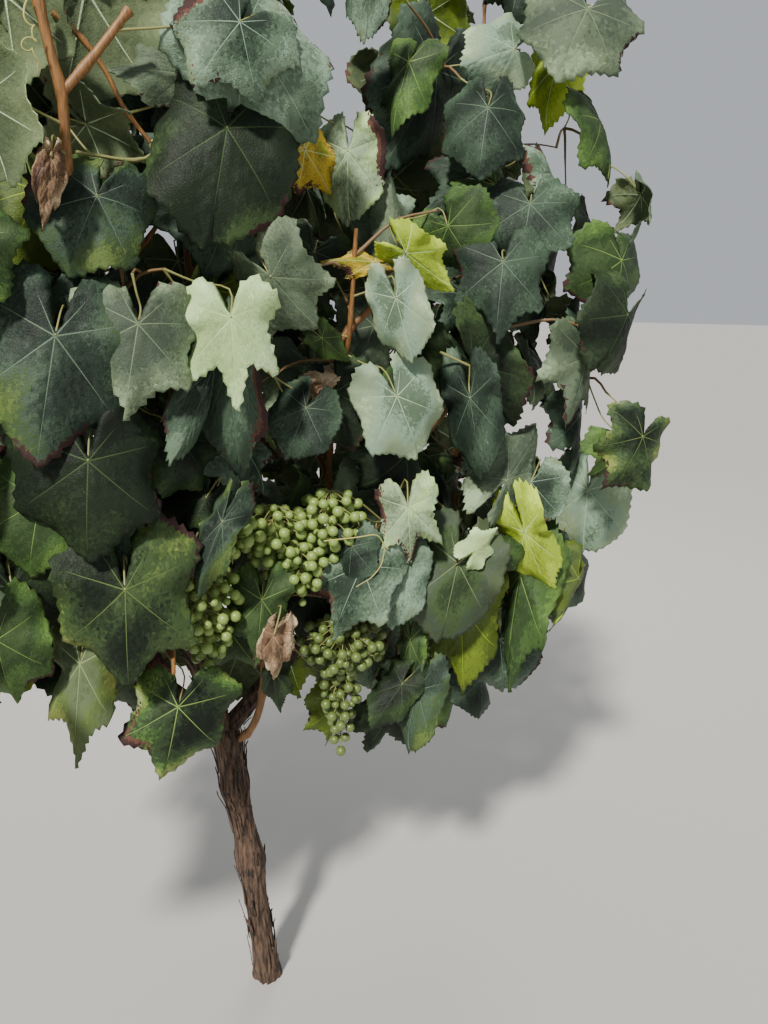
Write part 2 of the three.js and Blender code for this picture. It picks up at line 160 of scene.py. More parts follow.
# The eye: where it stood, how far down it looked and which way, and its lens in pixels
EYE = np.array((-343.0, -973.0, 1050.0))
PITCH = math.radians(15)
HEADING = math.radians(30)
LENS = 769.0
PICTURE = (768, 1024)
FORWARD = np.array((math.sin(HEADING), math.cos(HEADING), 0.0))
ASIDE = np.array((math.cos(HEADING), -math.sin(HEADING), 0.0))
UP = np.array((0.0, 0.0, 1.0))
AHEAD = math.cos(PITCH) * FORWARD - math.sin(PITCH) * UP
ABOVE = math.sin(PITCH) * FORWARD + math.cos(PITCH) * UP

# Plain colours, as red, green and blue from 0 to 255, in steps from dark to pale
TINTS = {
    # The dark steps are partly the leaves' own dark green and partly a painted shade for leaves that stand
    # in shade
    "dark": [(16, 24, 15), (25, 36, 22), (39, 54, 32), (58, 77, 44), (86, 104, 54), (122, 134, 68)],
    "teal": [(24, 34, 27), (37, 50, 40), (58, 76, 60), (88, 108, 88), (124, 150, 128)],
    # grey: partly dust and partly a painted bluish sky reflection
    "grey": [(62, 74, 60), (82, 97, 76), (108, 124, 96), (136, 156, 124), (168, 188, 152)],
    "pale": [(134, 154, 104), (152, 178, 120), (174, 202, 144), (194, 220, 164)],
    # lit: a painted glow of light shining through leaves
    "lit": [(76, 93, 28), (102, 122, 33), (142, 166, 46), (180, 204, 70)],
    "moss": [(44, 63, 34), (62, 87, 44), (86, 115, 55), (114, 142, 70)],
    "gold": [(156, 134, 42), (190, 166, 54)],
    "felt": [(72, 84, 60), (90, 103, 73), (110, 122, 88)],
    "straw": [(104, 82, 62), (152, 130, 104), (196, 174, 142)],
}
COLOURS = {f"{tint}_{i}": rgb for tint, steps in TINTS.items() for i, rgb in enumerate(steps)}
COLOURS |= {
    "scorch": (62, 44, 42),
    "rust": (92, 62, 52),
    "stalk": (134, 134, 80),
    "tendril": (176, 172, 96),
    "cane": (158, 112, 62),
    "twig": (116, 92, 60),
    "berry": (130, 154, 78),
    "bark": (78, 60, 47),
}

# What a leaf wears: its tones from the painted shade of the hollows by the stalk to the dusty margin, its
# ribs, its underside, and how much of the margin is scorched
PALETTES = {
    "dark": ("dark_0 dark_1 dark_1 dark_2 dark_2 dark_3", "dark_3", "felt", 0.05),
    # shade: a painted shade for leaves that stand in deep shade
    "shade": ("dark_0 dark_0 dark_1 dark_1 dark_1 dark_2 dark_3", "dark_3", "felt", 0.05),
    "mottled": ("dark_0 dark_1 dark_2 dark_3 dark_3 dark_4 dark_5", "dark_4", "felt", 0.12),
    "teal": ("teal_0 teal_1 teal_1 teal_2 teal_2 teal_3", "teal_3", "felt", 0.04),
    "edged": ("teal_0 teal_1 teal_1 teal_2 dark_3 dark_4", "teal_3", "felt", 0.1),
    "charred": ("teal_1 teal_2 teal_2 teal_3 teal_3", "teal_3", "felt", 0.6),
    "burnt": ("teal_1 teal_2 teal_3 teal_3 teal_4 grey_2", "teal_4", "felt", 0.75),
    # grey and dust: bluish grey that is partly dust and partly a painted sky reflection
    "grey": ("grey_0 grey_0 grey_1 grey_1 grey_2 grey_3", "grey_2", "felt", 0.03),
    "dust": ("teal_2 teal_3 teal_3 teal_4 grey_2", "teal_4", "felt", 0.04),
    "moss": ("dark_3 moss_0 moss_0 moss_1 moss_1 moss_2", "moss_3", "felt", 0.05),
    "fresh": ("dark_0 dark_1 dark_2 dark_2 moss_0 moss_1 moss_2 dark_5 pale_0", "moss_3", "felt", 0.35),
    "pale": ("pale_0 pale_1 pale_1 pale_2 pale_2 pale_3", "pale_2", "felt", 0.0),
    # bright and lit: a painted glow of light shining through the leaf
    "bright": ("lit_1 lit_2 lit_2 lit_3 lit_3", "pale_3", "lit", 0.0),
    "lit": ("dark_3 dark_4 lit_0 lit_0 lit_1", "lit_2", "lit", 0.04),
    "turned": ("lit_1 gold_0 gold_1 gold_1 gold_0 rust", "pale_3", "lit", 0.3),
    "pucker": ("grey_1 grey_2 grey_3 grey_3 pale_1 pale_2", "pale_2", "felt", 0.4),
    "olive": ("felt_0 felt_1 felt_1 dark_4 dark_5", "pale_0", "felt", 0.0),
    # silver: partly dust and partly a painted sky reflection
    "silver": ("teal_3 teal_4 teal_4 grey_3 grey_3 grey_4", "grey_4", "felt", 0.0),
    # soft: darkened as a painted shade for a leaf that stands in shade
    "soft": ("dark_2 dark_3 grey_0 felt_0 felt_0", "felt_2", "felt", 0.0),
    "dead": ("straw_0 straw_0 straw_1 straw_2 straw_2", "straw_1", "straw", 0.4),
    "withered": ("scorch straw_0 straw_0 straw_1 straw_2", "straw_1", "straw", 0.3),
}
UNDERSIDES = {
    "felt": ("felt_0 felt_1 felt_2", "grey_4"),
    # lit: the underside's painted glow of light shining through the leaf
    "lit": ("lit_0 lit_1 dark_4", "pale_3"),
    "straw": ("straw_0 straw_1 straw_2", "straw_1"),
}

# The margin where it is scorched, next to that, and from below
SCORCHED = {"green": ("scorch", "rust", "rust"), "straw": ("straw_0", "straw_1", "straw_0")}


def seeded(seed):
    """A small repeatable generator of numbers from 0 to 1."""
    state = seed

    def draw():
        nonlocal state
        state = state * 48271 % 2147483647
        return state / 2147483647

    return draw


def mix(a, b, share):
    return a + (b - a) * share


def smooth(value, low, high):
    share = np.clip((value - low) / (high - low), 0.0, 1.0)
    return share * share * (3 - 2 * share)


def unit(v):
    return v / max(np.linalg.norm(v), 1e-9)


class Way:
    """A smooth curve through points, read by the share of its length."""

    def __init__(self, points):
        p = [np.array(q, float) for q in points]
        p = [2 * p[0] - p[1], *p, 2 * p[-1] - p[-2]]
        t = np.linspace(0, 1, 60, endpoint=False)[:, None]
        spans = []
        for a, b, c, d in zip(p, p[1:], p[2:], p[3:]):
            d0, d1, d2 = (max(np.linalg.norm(q - r), 1e-6) ** 0.5 for q, r in ((a, b), (b, c), (c, d)))
            m = ((b - a) / d0 - (c - a) / (d0 + d1) + (c - b) / d1) * d1
            n = ((c - b) / d1 - (d - b) / (d1 + d2) + (d - c) / d2) * d1
            spans.append(b + t * m + t**2 * (3 * (c - b) - 2 * m - n) + t**3 * (2 * (b - c) + m + n))
        self.places = np.vstack([*spans, p[-2]])
        steps = np.linalg.norm(np.diff(self.places, axis=0), axis=1)
        run = np.concatenate([[0], np.cumsum(steps)])
        self.length = run[-1]
        self.shares = run / run[-1]

    def at(self, share):
        return np.array([np.interp(share, self.shares, self.places[:, k]) for k in range(3)]).T

    def heading(self, share):
        ahead = self.at(np.minimum(1, share + 0.004)) - self.at(np.maximum(0, share - 0.004))
        return ahead / np.linalg.norm(ahead, axis=-1, keepdims=True)


def ray(u, v):
    """The direction in which the eye sees a place of the picture."""
    return AHEAD + (u - PICTURE[0] / 2) / LENS * ASIDE + (PICTURE[1] / 2 - v) / LENS * ABOVE


def seen(u, v, depth):
    """The place at a depth across the row that the eye sees at a place of the picture."""
    way = ray(u, v)
    return EYE + way * (depth - EYE[1]) / way[1]


def pictured(place):
    """Where the eye sees a place: across and down the picture, and how far away."""
    off = place - EYE
    far = max(off @ AHEAD, 1.0)
    return PICTURE[0] / 2 + LENS * (off @ ASIDE) / far, PICTURE[1] / 2 - LENS * (off @ ABOVE) / far, far


# The crown's outline
def crown_top(x):
    middle = (CROWN["left"] + CROWN["right"]) / 2
    out = abs(x - middle) / ((CROWN["right"] - CROWN["left"]) / 2)
    dip = CROWN["dip"] * math.exp(-(((x - CROWN["dip_at"]) / CROWN["dip_width"]) ** 2))
    spire = max(rise * math.exp(-(((x - at) / SPIRE_WIDTH) ** 2)) for at, rise in SPIRES)
    return CROWN["top"] - dip - SHOULDER * out**4 + spire


def crown_bottom(x):
    return CROWN["bottom"] + HEM[0] * float(smooth(-x, HEM[1], HEM[2]))


def crown_depth(x, z):
    off = min(1, abs(z - DEPTH["widest_at"]) / DEPTH["fade"])
    lumps = LUMPS["share"] * (math.sin(x / LUMPS["along"] + 1.4 * math.sin(z / LUMPS["up"])) - 1)
    return (DEPTH["least"] + DEPTH["bulge"] * math.cos(off * math.pi / 2)) * (1 + lumps)


def inside_crown(p, clear=0):
    return (
        CROWN["left"] + clear < p[0] < CROWN["right"] - clear
        and crown_bottom(p[0]) + clear < p[2] < crown_top(p[0]) - clear
        and abs(p[1]) < crown_depth(p[0], p[2])
    )


def find_masses():
    """Every mass of leaves with its heart and the arm that feeds it."""
    masses = []
    for row, z in ROWS.items():
        for column, x in COLUMNS.items():
            for side, sign in SIDES.items():
                arm = "right" if x > 0 else "left_steep" if column == "left" else "left_low"
                masses.append([f"{row}_{side}_{column}", row, sign, [x, sign * HEART_DEPTH, z], arm])
    for column, x in TOPS.items():
        arm = None if column == "centre" else "right" if x > 0 else "left_low"
        masses.append([f"top_{column}", "top", 0, [x, 0, TOP_HEIGHT], arm])
    found = []
    for i, (name, row, sign, heart, arm) in enumerate(masses):
        seed = MASS_SEED * (i + 3)
        draw = seeded(seed + 1)
        heart[0] += (draw() - 0.5) * UNEVEN[0]
        heart[2] += (draw() - 0.5) * UNEVEN[1]
        heart = np.array(heart, float)
        found.append({"name": name, "row": row, "sign": sign, "heart": heart, "arm": arm, "seed": seed})
    return found


def in_space(p, mass, masses, clear):
    """Whether a place is nearer to a mass's heart than to any other heart."""
    for other in masses:
        if other is mass:
            continue
        apart = np.linalg.norm(other["heart"] - mass["heart"])
        nearer = ((p - other["heart"]) ** 2).sum() - ((p - mass["heart"]) ** 2).sum()
        if nearer / (2 * apart) <= clear:
            return False
    return True


def cane_way(mass, start, bow):
    heart, row, sign = mass["heart"], mass["row"], mass["sign"]
    crest = heart.copy()
    if row == "low":
        crest += ((heart[0] - start[0]) * 0.3, sign * 62, -30)
    if row == "mid":
        crest += ((heart[0] - start[0]) * 0.1, sign * 30, 120)
    if row == "top":
        crest[2] = crown_top(heart[0]) - 55
    low = row == "low"
    bend = (
        mix(start[0], heart[0], 0.45) + 0.4 * bow,
        sign * (45 if low else 26) + bow,
        mix(start[2], heart[2], 0.75 if low else 0.55) + (26 if low else 0),
    )
    return Way([start, bend, heart, crest])


# A leaf's outline: turns from the tip in degrees and shares of the way from the stalk to the tip
LOBES = {
    "entire": ((0, 31, 53, 81, 107, 140, 159, 171), (1, 0.82, 0.96, 0.81, 0.88, 0.72, 0.56, 0.1)),
    "lobed": ((0, 28, 51, 79, 105, 139, 156, 169), (1, 0.72, 0.96, 0.68, 0.84, 0.68, 0.5, 0.1)),
    "broad": ((0, 26, 50, 82, 113, 147, 164, 175), (0.95, 0.82, 1, 0.83, 0.92, 0.76, 0.58, 0.1)),
    "deep": ((0, 25, 49, 79, 103, 139, 154, 167), (1, 0.54, 0.98, 0.58, 0.84, 0.66, 0.45, 0.1)),
    "young": ((0, 34, 57, 90, 114, 146, 160, 170), (1, 0.68, 0.82, 0.62, 0.66, 0.5, 0.36, 0.1)),
}

# The main ribs, in the same turns and shares, their half width, and where side veins leave them
RIBS = [(0, 0.95), (53, 0.84), (-53, 0.84), (106, 0.7), (-106, 0.7), (142, 0.42), (-142, 0.42)]
RIB_WIDTH = (0.0068, 0.0016)
SIDE_VEINS = (0.2, 0.36, 0.52, 0.68, 0.84)

# The teeth of the margin: how many, how uneven their places, where each peaks, and how far it stands out
TEETH = 44
TOOTH_SHIFT = 0.25
TOOTH_PEAK = 0.58
TOOTH = (0.016, 0.045)


def rib_ways():
    """Each main rib's direction, the direction across it, and its length."""
    for angle, length in RIBS:
        way = np.array((math.cos(math.radians(angle)), math.sin(math.radians(angle))))
        yield way, np.array((-way[1], way[0])), length


def inside(points, ring):
    """Which points are inside a closed ring."""
    x, y = points[:, :1], points[:, 1:]
    a, b = ring, np.roll(ring, -1, axis=0)
    crosses = (a[:, 1] > y) != (b[:, 1] > y)
    with np.errstate(divide="ignore", invalid="ignore"):
        at = a[:, 0] + (y - a[:, 1]) / (b[:, 1] - a[:, 1]) * (b[:, 0] - a[:, 0])
    return (crosses & (x < at)).sum(1) % 2 == 1


def off_line(points, start, end):
    """How far points are from a straight line."""
    way = end - start
    share = np.clip((points - start) @ way / (way @ way), 0, 1)
    return np.linalg.norm(points - start - share[:, None] * way, axis=1)


def leaf_pattern(kind, seed, spacing):
    """A flat leaf: its points, faces, margin, and how far each point is from the ribs."""
    draw = np.random.default_rng(seed)
    turns, outs = (np.array(q, float) for q in LOBES[kind])
    dense = []
    for side in (-1, 1):
        uneven = outs * (1 + 0.05 * draw.standard_normal(len(outs)) * (outs > 0.3))
        angles = turns * (1 + 0.025 * draw.standard_normal())
        run = []
        for k in range(len(angles) - 1):
            s = np.linspace(0, 1, 40, endpoint=False)
            bow = np.sin(s * math.pi / 2) if uneven[k + 1] < uneven[k] else 1 - np.cos(s * math.pi / 2)
            run.append(np.stack([mix(angles[k], angles[k + 1], s), mix(uneven[k], uneven[k + 1], bow)], 1))
        run = np.vstack(run)
        dense.append(run[::-1] * (-1, 1) if side < 0 else run)
    dense = np.vstack(dense)
    turn, out = np.radians(dense[:, 0]), dense[:, 1]
    curve = np.stack([out * np.cos(turn), out * np.sin(turn)], 1)
    steps = np.linalg.norm(np.diff(curve, axis=0), axis=1)
    run = np.concatenate([[0], np.cumsum(steps)])

    def on_curve(distance):
        return np.array([np.interp(distance, run, curve[:, k]) for k in range(2)]).T

    marks = (np.arange(TEETH) + TOOTH_SHIFT * draw.random(TEETH)) / TEETH
    low = on_curve(marks * run[-1])
    high_at = (marks + TOOTH_PEAK / TEETH) * run[-1]
    high = on_curve(high_at)
    ahead = on_curve(high_at + 0.02) - high
    outward = np.stack([ahead[:, 1], -ahead[:, 0]], 1)
    outward /= np.linalg.norm(outward, axis=1, keepdims=True) + 1e-9
    outward *= np.sign((outward * high).sum(1, keepdims=True))
    size = (TOOTH[0] + TOOTH[1] * draw.random(TEETH)) * smooth(np.linalg.norm(high, axis=1), 0.3, 0.5)
    high = high + outward * size[:, None]
    ring = np.stack([low, high], 1).reshape(-1, 2)
    ring = np.vstack([ring, [(-0.035, 0.0)]])
    points = [ring]
    edges = [(i, (i + 1) % len(ring)) for i in range(len(ring))]
    count = len(ring)
    for way, side, length in rib_ways():
        stops = np.linspace(0.02, length, 2 + round(length / 0.11))
        wide = mix(*RIB_WIDTH, stops[:-1] / length)[:, None]
        left = stops[:-1, None] * way + wide * side
        right = stops[:-1, None] * way - wide * side
        wedge = np.vstack([left, [length * way * 0.98], right[::-1]])
        wedge = wedge[inside(wedge, ring)]
        points.append(wedge)
        edges += [(count + i, count + (i + 1) % len(wedge)) for i in range(len(wedge))]
        count += len(wedge)
    rows = np.arange(-1, 1.1, spacing * 0.87)
    columns = np.arange(-1, 1, spacing)
    grid = np.array([(x, y + (i % 2) * spacing / 2) for i, x in enumerate(rows) for y in columns])
    grid += (draw.random(grid.shape) - 0.5) * spacing * 0.5
    keep = inside(grid, ring)
    for i in range(len(ring)):
        keep &= off_line(grid, ring[i], ring[(i + 1) % len(ring)]) > spacing * 0.45
    for way, _, length in rib_ways():
        keep &= off_line(grid, way * 0, way * length) > spacing * 0.3
    points.append(grid[keep])
    flat = np.vstack(points)
    made = delaunay_2d_cdt([Vector(p) for p in flat], edges, [list(range(len(ring)))], 1, 1e-5)
    flat = np.array([tuple(p) for p in made[0]])
    faces = np.array([f for f in made[2] if len(f) == 3])
    return describe(flat, faces, curve)


def describe(flat, faces, curve):
    """What the colours and the relief of a leaf need to know of its points and faces."""
    sides = np.stack([faces, np.roll(faces, -1, 1)], 2).reshape(-1, 2)
    _, back, counts = np.unique(np.sort(sides, axis=1), axis=0, return_inverse=True, return_counts=True)
    rim = sides[counts[back.ravel()] == 1]
    turn = np.degrees(np.arctan2(curve[:, 1], curve[:, 0]))
    order = np.argsort(turn)
    outline = turn[order], np.linalg.norm(curve, axis=1)[order]
    middle = flat[faces].mean(1)

    def edge_share(p):
        reach = np.interp(np.degrees(np.arctan2(p[:, 1], p[:, 0])), *outline)
        return np.linalg.norm(p, axis=1) / np.maximum(reach, 0.05)

    def rib_gap(p):
        gap = np.full(len(p), 9.0)
        for way, side, length in rib_ways():
            gap = np.minimum(gap, off_line(p, way * 0, way * length))
            for share in SIDE_VEINS:
                for sign in (-1, 1):
                    foot = way * length * (share + 0.04 * sign)
                    tip = foot + (way * 0.75 + side * sign * 0.66) * length * (0.42 - 0.3 * share)
                    gap = np.minimum(gap, off_line(p, foot, tip))
        return gap

    wide = np.zeros(len(faces), bool)
    for way, side, length in rib_ways():
        along = middle @ way
        aside = np.abs(middle @ side)
        wide |= (along > 0.02) & (along < length) & (aside < mix(*RIB_WIDTH, along / length))
    wide |= np.linalg.norm(middle, axis=1) < 0.014
    on_rim = np.zeros(len(flat), bool)
    on_rim[rim.ravel()] = True
    return {
        "flat": flat,
        "faces": faces,
        "rim": rim,
        "edge": edge_share(flat),
        "gap": rib_gap(flat),
        "face_edge": edge_share(middle),
        "face_gap": rib_gap(middle),
        "middle": middle,
        "ribbed": wide,
    }


def coarse_pattern(kind):
    """A leaf of few faces, to feel for room with."""
    half = list(zip(*LOBES[kind]))
    ring = [(-t, o) for t, o in half[:0:-1]] + half
    ring = [(o * math.cos(math.radians(t)), o * math.sin(math.radians(t))) for t, o in ring]
    flat = np.array([(0.2, 0.0), *ring])
    n = len(ring)
    faces = np.array([(0, 1 + i, 1 + (i + 1) % n) for i in range(n)])
    return {"flat": flat, "faces": faces, "edge": np.ones(n + 1), "gap": np.full(n + 1, 0.05)}


# A bend below this is left straight
STRAIGHT = 1e-6


def rolled(flat, lift, bend):
    """A flat run bent to an arc: how far along and how high its points come to be."""
    angle = bend * flat
    sine, cosine = np.sin(angle), np.cos(angle)
    return sine / bend + lift * sine, (cosine - 1) / bend + lift * cosine


def bent(pattern, leaf):
    """The places of a leaf's points in space, with its relief, fold, droop and waves."""
    reach = leaf["reach"]
    draw = np.random.default_rng(leaf["seed"])
    f = pattern["flat"][:, 0] * reach
    f = np.where(f < 0, f * leaf["shrunk"], f)
    a = pattern["flat"][:, 1] * reach * leaf["wide"]
    turn = np.arctan2(a, f)
    edge = np.clip(pattern["edge"], 0, 1.15)
    phase = draw.random(4) * 2 * math.pi
    wave = np.sin(3 * turn + phase[0]) + 0.6 * np.sin(7 * turn + phase[1]) * edge
    lift = leaf["wave"] * reach * 0.085 * wave * edge**2
    blister = 1 - np.exp(-((pattern["gap"] / 0.035) ** 2))
    lift = lift + leaf["pucker"] * reach * 0.024 * blister * (1 - 0.4 * edge)
    uneven = 1 + 0.4 * np.sin(2 * turn + phase[2])
    lift = lift - leaf["curl"] * reach * 0.16 * smooth(edge, 0.55, 1.1) ** 1.5 * uneven
    creases = np.sin(21 * f / reach + phase[0]) * np.sin(17 * a / reach + phase[1])
    creases = creases + np.sin(31 * a / reach + phase[3])
    lift = lift + (1 - leaf["shrunk"]) * 0.05 * reach * creases
    ridge = 0.06 * reach
    soft = np.sqrt(a * a + ridge * ridge) - ridge
    fold = math.radians(leaf["fold"])
    aside = np.sign(a) * (np.abs(a) - soft + soft * math.cos(fold))
    lift = lift - soft * math.sin(fold)
    roll = leaf["roll"] / reach
    if abs(roll) > STRAIGHT:
        aside, lift = rolled(aside, lift, roll)
    droop = leaf["droop"] / reach
    if abs(droop) > STRAIGHT:
        f, lift = rolled(f, lift, np.where(f > 0, droop, 0.5 * droop))
    twist = math.radians(leaf["twist"]) * f / reach
    aside, lift = aside * np.cos(twist) - lift * np.sin(twist), aside * np.sin(twist) + lift * np.cos(twist)
    tip, normal = leaf["tip"], leaf["normal"]
    across = np.cross(normal, tip)
    return leaf["place"] + f[:, None] * tip + aside[:, None] * across + lift[:, None] * normal


def facing(tip, towards):
    """A leaf's tip and facing, made square to each other."""
    tip = unit(tip)
    return tip, unit(towards - tip * (towards @ tip))


def turned(v, axis, degrees):
    angle = math.radians(degrees)
    kept = axis * (axis @ v) * (1 - math.cos(angle))
    return v * math.cos(angle) + np.cross(axis, v) * math.sin(angle) + kept


# Leaves that are told apart from where the eye stands: the stalk's end and the tip in the picture with
# their depths across the row, width in the picture, turn about the midrib, fold, droop, outline, palette
TOLD = [
    ((227, 128), (208, 247), -205, -225, 160, 0, 4, 0.3, "entire", "shade"),
    ((246, 26), (322, 140), -222, -232, 150, -22, 12, 0.3, "entire", "dust"),
    ((240, 22), (196, 74), -236, -246, 118, 12, 8, 0.9, "broad", "burnt"),
    ((240, 50), (284, 98), -150, -160, 81, 20, 10, 0.2, "entire", "lit"),
    ((186, 74), (112, 64), -170, -180, 68, 20, 12, 0.3, "lobed", "grey"),
    ((97, 196), (62, 269), -190, -205, 130, 10, 8, 0.4, "entire", "edged"),
    ((-20, 100), (12, 188), -190, -190, 117, 200, 6, 0.2, "entire", "pale"),
    ((85, -12), (62, 112), -120, -110, 174, 170, 6, 0.2, "entire", "moss"),
    ((5, -5), (20, 92), -150, -140, 136, 190, 6, 0.2, "entire", "moss"),
    ((86, 124), (150, 152), -130, -140, 84, 195, 14, 0.5, "lobed", "grey"),
    ((271, 277), (318, 333), -200, -215, 92, 25, 12, 0.2, "broad", "grey"),
    ((138, 324), (124, 412), -215, -230, 145, 0, 6, 0.2, "lobed", "grey"),
    ((231, 318), (237, 409), -225, -235, 112, 0, 10, 0.2, "deep", "pale"),
    ((55, 336), (36, 462), -205, -225, 160, 8, 8, 0.3, "entire", "edged"),
    ((100, 285), (72, 346), -170, -180, 75, -20, 12, 0.3, "entire", "teal"),
    ((374, 262), (327, 256), -170, -170, 26, 30, 20, 0.2, "young", "turned"),
    ((348, 152), (347, 226), -130, -130, 74, 15, 20, 0.2, "entire", "pucker"),
    ((305, 150), (336, 198), -120, -120, 67, -20, 10, 0.3, "lobed", "turned"),
    ((409, 62), (388, 128), -60, -70, 58, 30, 16, 0.4, "lobed", "moss"),
    ((436, 70), (392, 165), -30, -40, 94, -30, 10, 0.3, "entire", "teal"),
    ((514, 49), (470, 62), -120, -130, 73, 10, 16, 0.5, "entire", "silver"),
    ((488, 108), (478, 173), -150, -165, 112, 0, 22, 0.3, "entire", "teal"),
    ((556, 66), (541, 128), -90, -90, 66, 20, 10, 0.2, "lobed", "bright"),
    ((530, 204), (520, 262), -170, -190, 104, 0, 8, 0.5, "entire", "teal"),
    ((448, 226), (474, 268), -150, -165, 97, 10, 8, 0.3, "entire", "moss"),
    ((396, 256), (396, 172), -140, -140, 48, 30, 30, 0.1, "entire", "grey"),
    ((385, 225), (398, 272), -100, -110, 69, -20, 8, 0.3, "broad", "dust"),
    ((406, 253), (455, 293), -190, -200, 58, 15, 10, 0.2, "young", "bright"),
    ((396, 298), (413, 364), -210, -220, 68, 5, 8, 0.1, "entire", "silver"),
    ((503, 262), (496, 334), -195, -215, 104, -5, 10, 0.3, "lobed", "teal"),
    ((397, 396), (424, 462), -200, -215, 98, -10, 8, 0.3, "entire", "silver"),
    ((472, 362), (516, 440), -170, -180, 104, 10, 12, 0.3, "entire", "dark"),
    ((470, 398), (482, 480), -205, -205, 68, 6, 24, 0.1, "entire", "teal"),
    ((408, 508), (412, 570), -195, -205, 74, 0, -6, 0.3, "deep", "pucker"),
    ((458, 563), (438, 652), -196, -208, 98, 0, 8, 0.4, "entire", "soft"),
    ((475, 551), (499, 529), -216, -220, 40, 10, 14, 0.4, "lobed", "pale"),
    ((500, 556), (534, 548), -206, -202, 40, 10, 10, 0.3, "entire", "moss"),
    ((524, 532), (551, 598), -208, -206, 50, 20, 10, 0.1, "entire", "bright"),
    ((462, 606), (462, 700), -164, -172, 84, 10, 8, 0.2, "lobed", "lit"),
    ((520, 575), (500, 684), -175, -180, 73, 30, 24, 0.2, "lobed", "moss"),
    ((531, 482), (522, 532), -190, -195, 71, 20, 14, 0.3, "entire", "burnt"),
    ((507, 480), (552, 420), -190, -170, 63, 20, 16, 0.3, "entire", "grey"),
    ((588, 490), (580, 560), -150, -150, 92, 10, 10, 0.3, "entire", "silver"),
    ((305, 396), (362, 372), -150, -150, 34, 30, 30, 0.7, "young", "dead"),
    ((322, 338), (350, 362), -150, -150, 37, 0, 10, 0.1, "young", "moss"),
    ((336, 392), (350, 452), -140, -150, 82, 0, 10, 0.3, "entire", "shade"),
    ((306, 408), (284, 460), -170, -180, 78, 10, 8, 0.3, "entire", "teal"),
    ((352, 546), (346, 590), -170, -175, 56, 20, 12, 0.3, "entire", "teal"),
    ((402, 570), (394, 634), -180, -190, 62, 0, 14, 0.5, "entire", "dust"),
    ((228, 366), (241, 488), -190, -205, 80, 0, 26, 0.6, "entire", "charred"),
    ((214, 366), (175, 468), -200, -215, 56, -30, 34, 0.1, "entire", "teal"),
    ((88, 461), (84, 566), -210, -225, 166, 4, 6, 0.5, "entire", "shade"),
    ((125, 590), (128, 698), -200, -215, 146, 0, 8, 0.6, "broad", "mottled"),
    ((222, 522), (190, 598), -190, -200, 46, 20, 24, 0.2, "entire", "edged"),
    ((206, 498), (190, 530), -150, -150, 63, 10, 12, 0.2, "entire", "dark"),
    ((262, 600), (256, 668), -150, -160, 66, 0, 14, 0.5, "lobed", "moss"),
    ((274, 636), (268, 708), -182, -188, 70, 14, 36, 0.7, "broad", "dead"),
    ((362, 566), (328, 640), -176, -184, 98, 8, 10, 0.5, "lobed", "burnt"),
    ((372, -32), (366, 42), -100, -100, 50, 0, 6, 0.1, "entire", "dust"),
    ((40, 500), (24, 582), -165, -170, 117, 5, 8, 0.2, "entire", "moss"),
    ((12, 588), (18, 660), -150, -160, 117, 0, 8, 0.2, "entire", "dark"),
    ((-4, 640), (12, 716), -168, -172, 100, 10, 8, 0.3, "broad", "moss"),
    ((178, 707), (163, 789), -170, -185, 124, 0, 10, 0.4, "lobed", "fresh"),
    ((80, 664), (72, 764), -150, -160, 70, 20, 12, 0.2, "lobed", "olive"),
    ((410, 640), (410, 712), -150, -158, 34, 20, 26, 0.3, "entire", "moss"),
    ((402, 684), (370, 728), -164, -168, 48, 10, 10, 0.2, "entire", "dark"),
    ((418, 690), (397, 762), -172, -178, 52, 25, 18, 0.4, "entire", "edged"),
    ((274, 672), (276, 722), -120, -125, 32, 20, 14, 0.3, "young", "dark"),
    ((500, 640), (506, 706), -150, -160, 88, 0, 10, 0.3, "entire", "teal"),
    ((51, 156), (44, 230), -225, -230, 52, 0, 30, 0.5, "broad", "withered"),
    # A leaf in the shade palette behind the bunches fills a gap where only shade shows, a painted shade
    ((312, 588), (306, 648), -70, -80, 62, 0, 8, 0.3, "entire", "shade"),
]

# Shoots that are told apart in the same way: places in the picture with their depths, and thickness
TOLD_SHOOTS = [
    (
        [(72, 330, -120), (70, 230, -140), (67, 168, -172), (61, 90, -182), (52, 58, -183), (36, -8, -184)],
        (5.2, 4.6),
    ),
    ([(62, 93, -182), (92, 58, -187), (129, 10, -192)], (4.2, 3.7)),
    ([(52, 12, -170), (78, 34, -168), (106, 72, -166), (124, 108, -164), (150, 142, -160)], (2.6, 2.0)),
    ([(150, 142, -160), (154, 152, -158), (140, 160, -158), (76, 152, -160)], (1.8, 1.6)),
    ([(84, 236, -60), (94, 262, -60), (106, 282, -60)], (4.6, 4.4)),
    ([(130, 262, -40), (150, 236, -44), (160, 220, -46)], (3.0, 2.6)),
    ([(334, 350, -120), (352, 326, -124), (374, 306, -128)], (4.6, 4.2)),
    ([(470, 366, -200), (440, 352, -190)], (1.6, 1.5)),
]

# Tendrils in the same way: how wide they coil, and their places
TOLD_TENDRILS = [
    (3.2, [(28, -4, -190), (24, 14, -194), (36, 34, -196), (24, 46, -196), (36, 54, -198), (38, 70, -196)]),
    (
        0.4,
        [
            (324, 541, -192),
            (352, 538, -200),
            (378, 536, -206),
            (384, 548, -206),
            (382, 562, -206),
            (374, 575, -206),
            (356, 587, -204),
        ],
    ),
]

# How often leaves that are not told apart have each outline and wear each palette
KINDS = "entire lobed broad entire deep lobed broad".split()
TONES = "teal dark moss grey edged dark teal mottled dust moss lit dark burnt grey teal grey".split()

# The crown's lower edge as the eye sees it: places across the picture, and how far down each is
HEM_SEEN = (
    (-71, -70, 20, 75, 175, 235, 300, 345, 440, 520, 640),
    (1500, 700, 715, 765, 790, 705, 718, 755, 765, 700, 610),
)


def below_hem(place, clear):
    """Whether a place shows below the crown's lower edge."""
    u, v, _ = pictured(place)
    return v + clear > np.interp(u, *HEM_SEEN)


def body(places, faces):
    """What leaves feel of a body: its middle, how far it reaches from there, and its faces."""
    middle = places.mean(0)
    radius = np.linalg.norm(places - middle, axis=1).max()
    return middle, radius, BVHTree.FromPolygons(places.tolist(), faces)


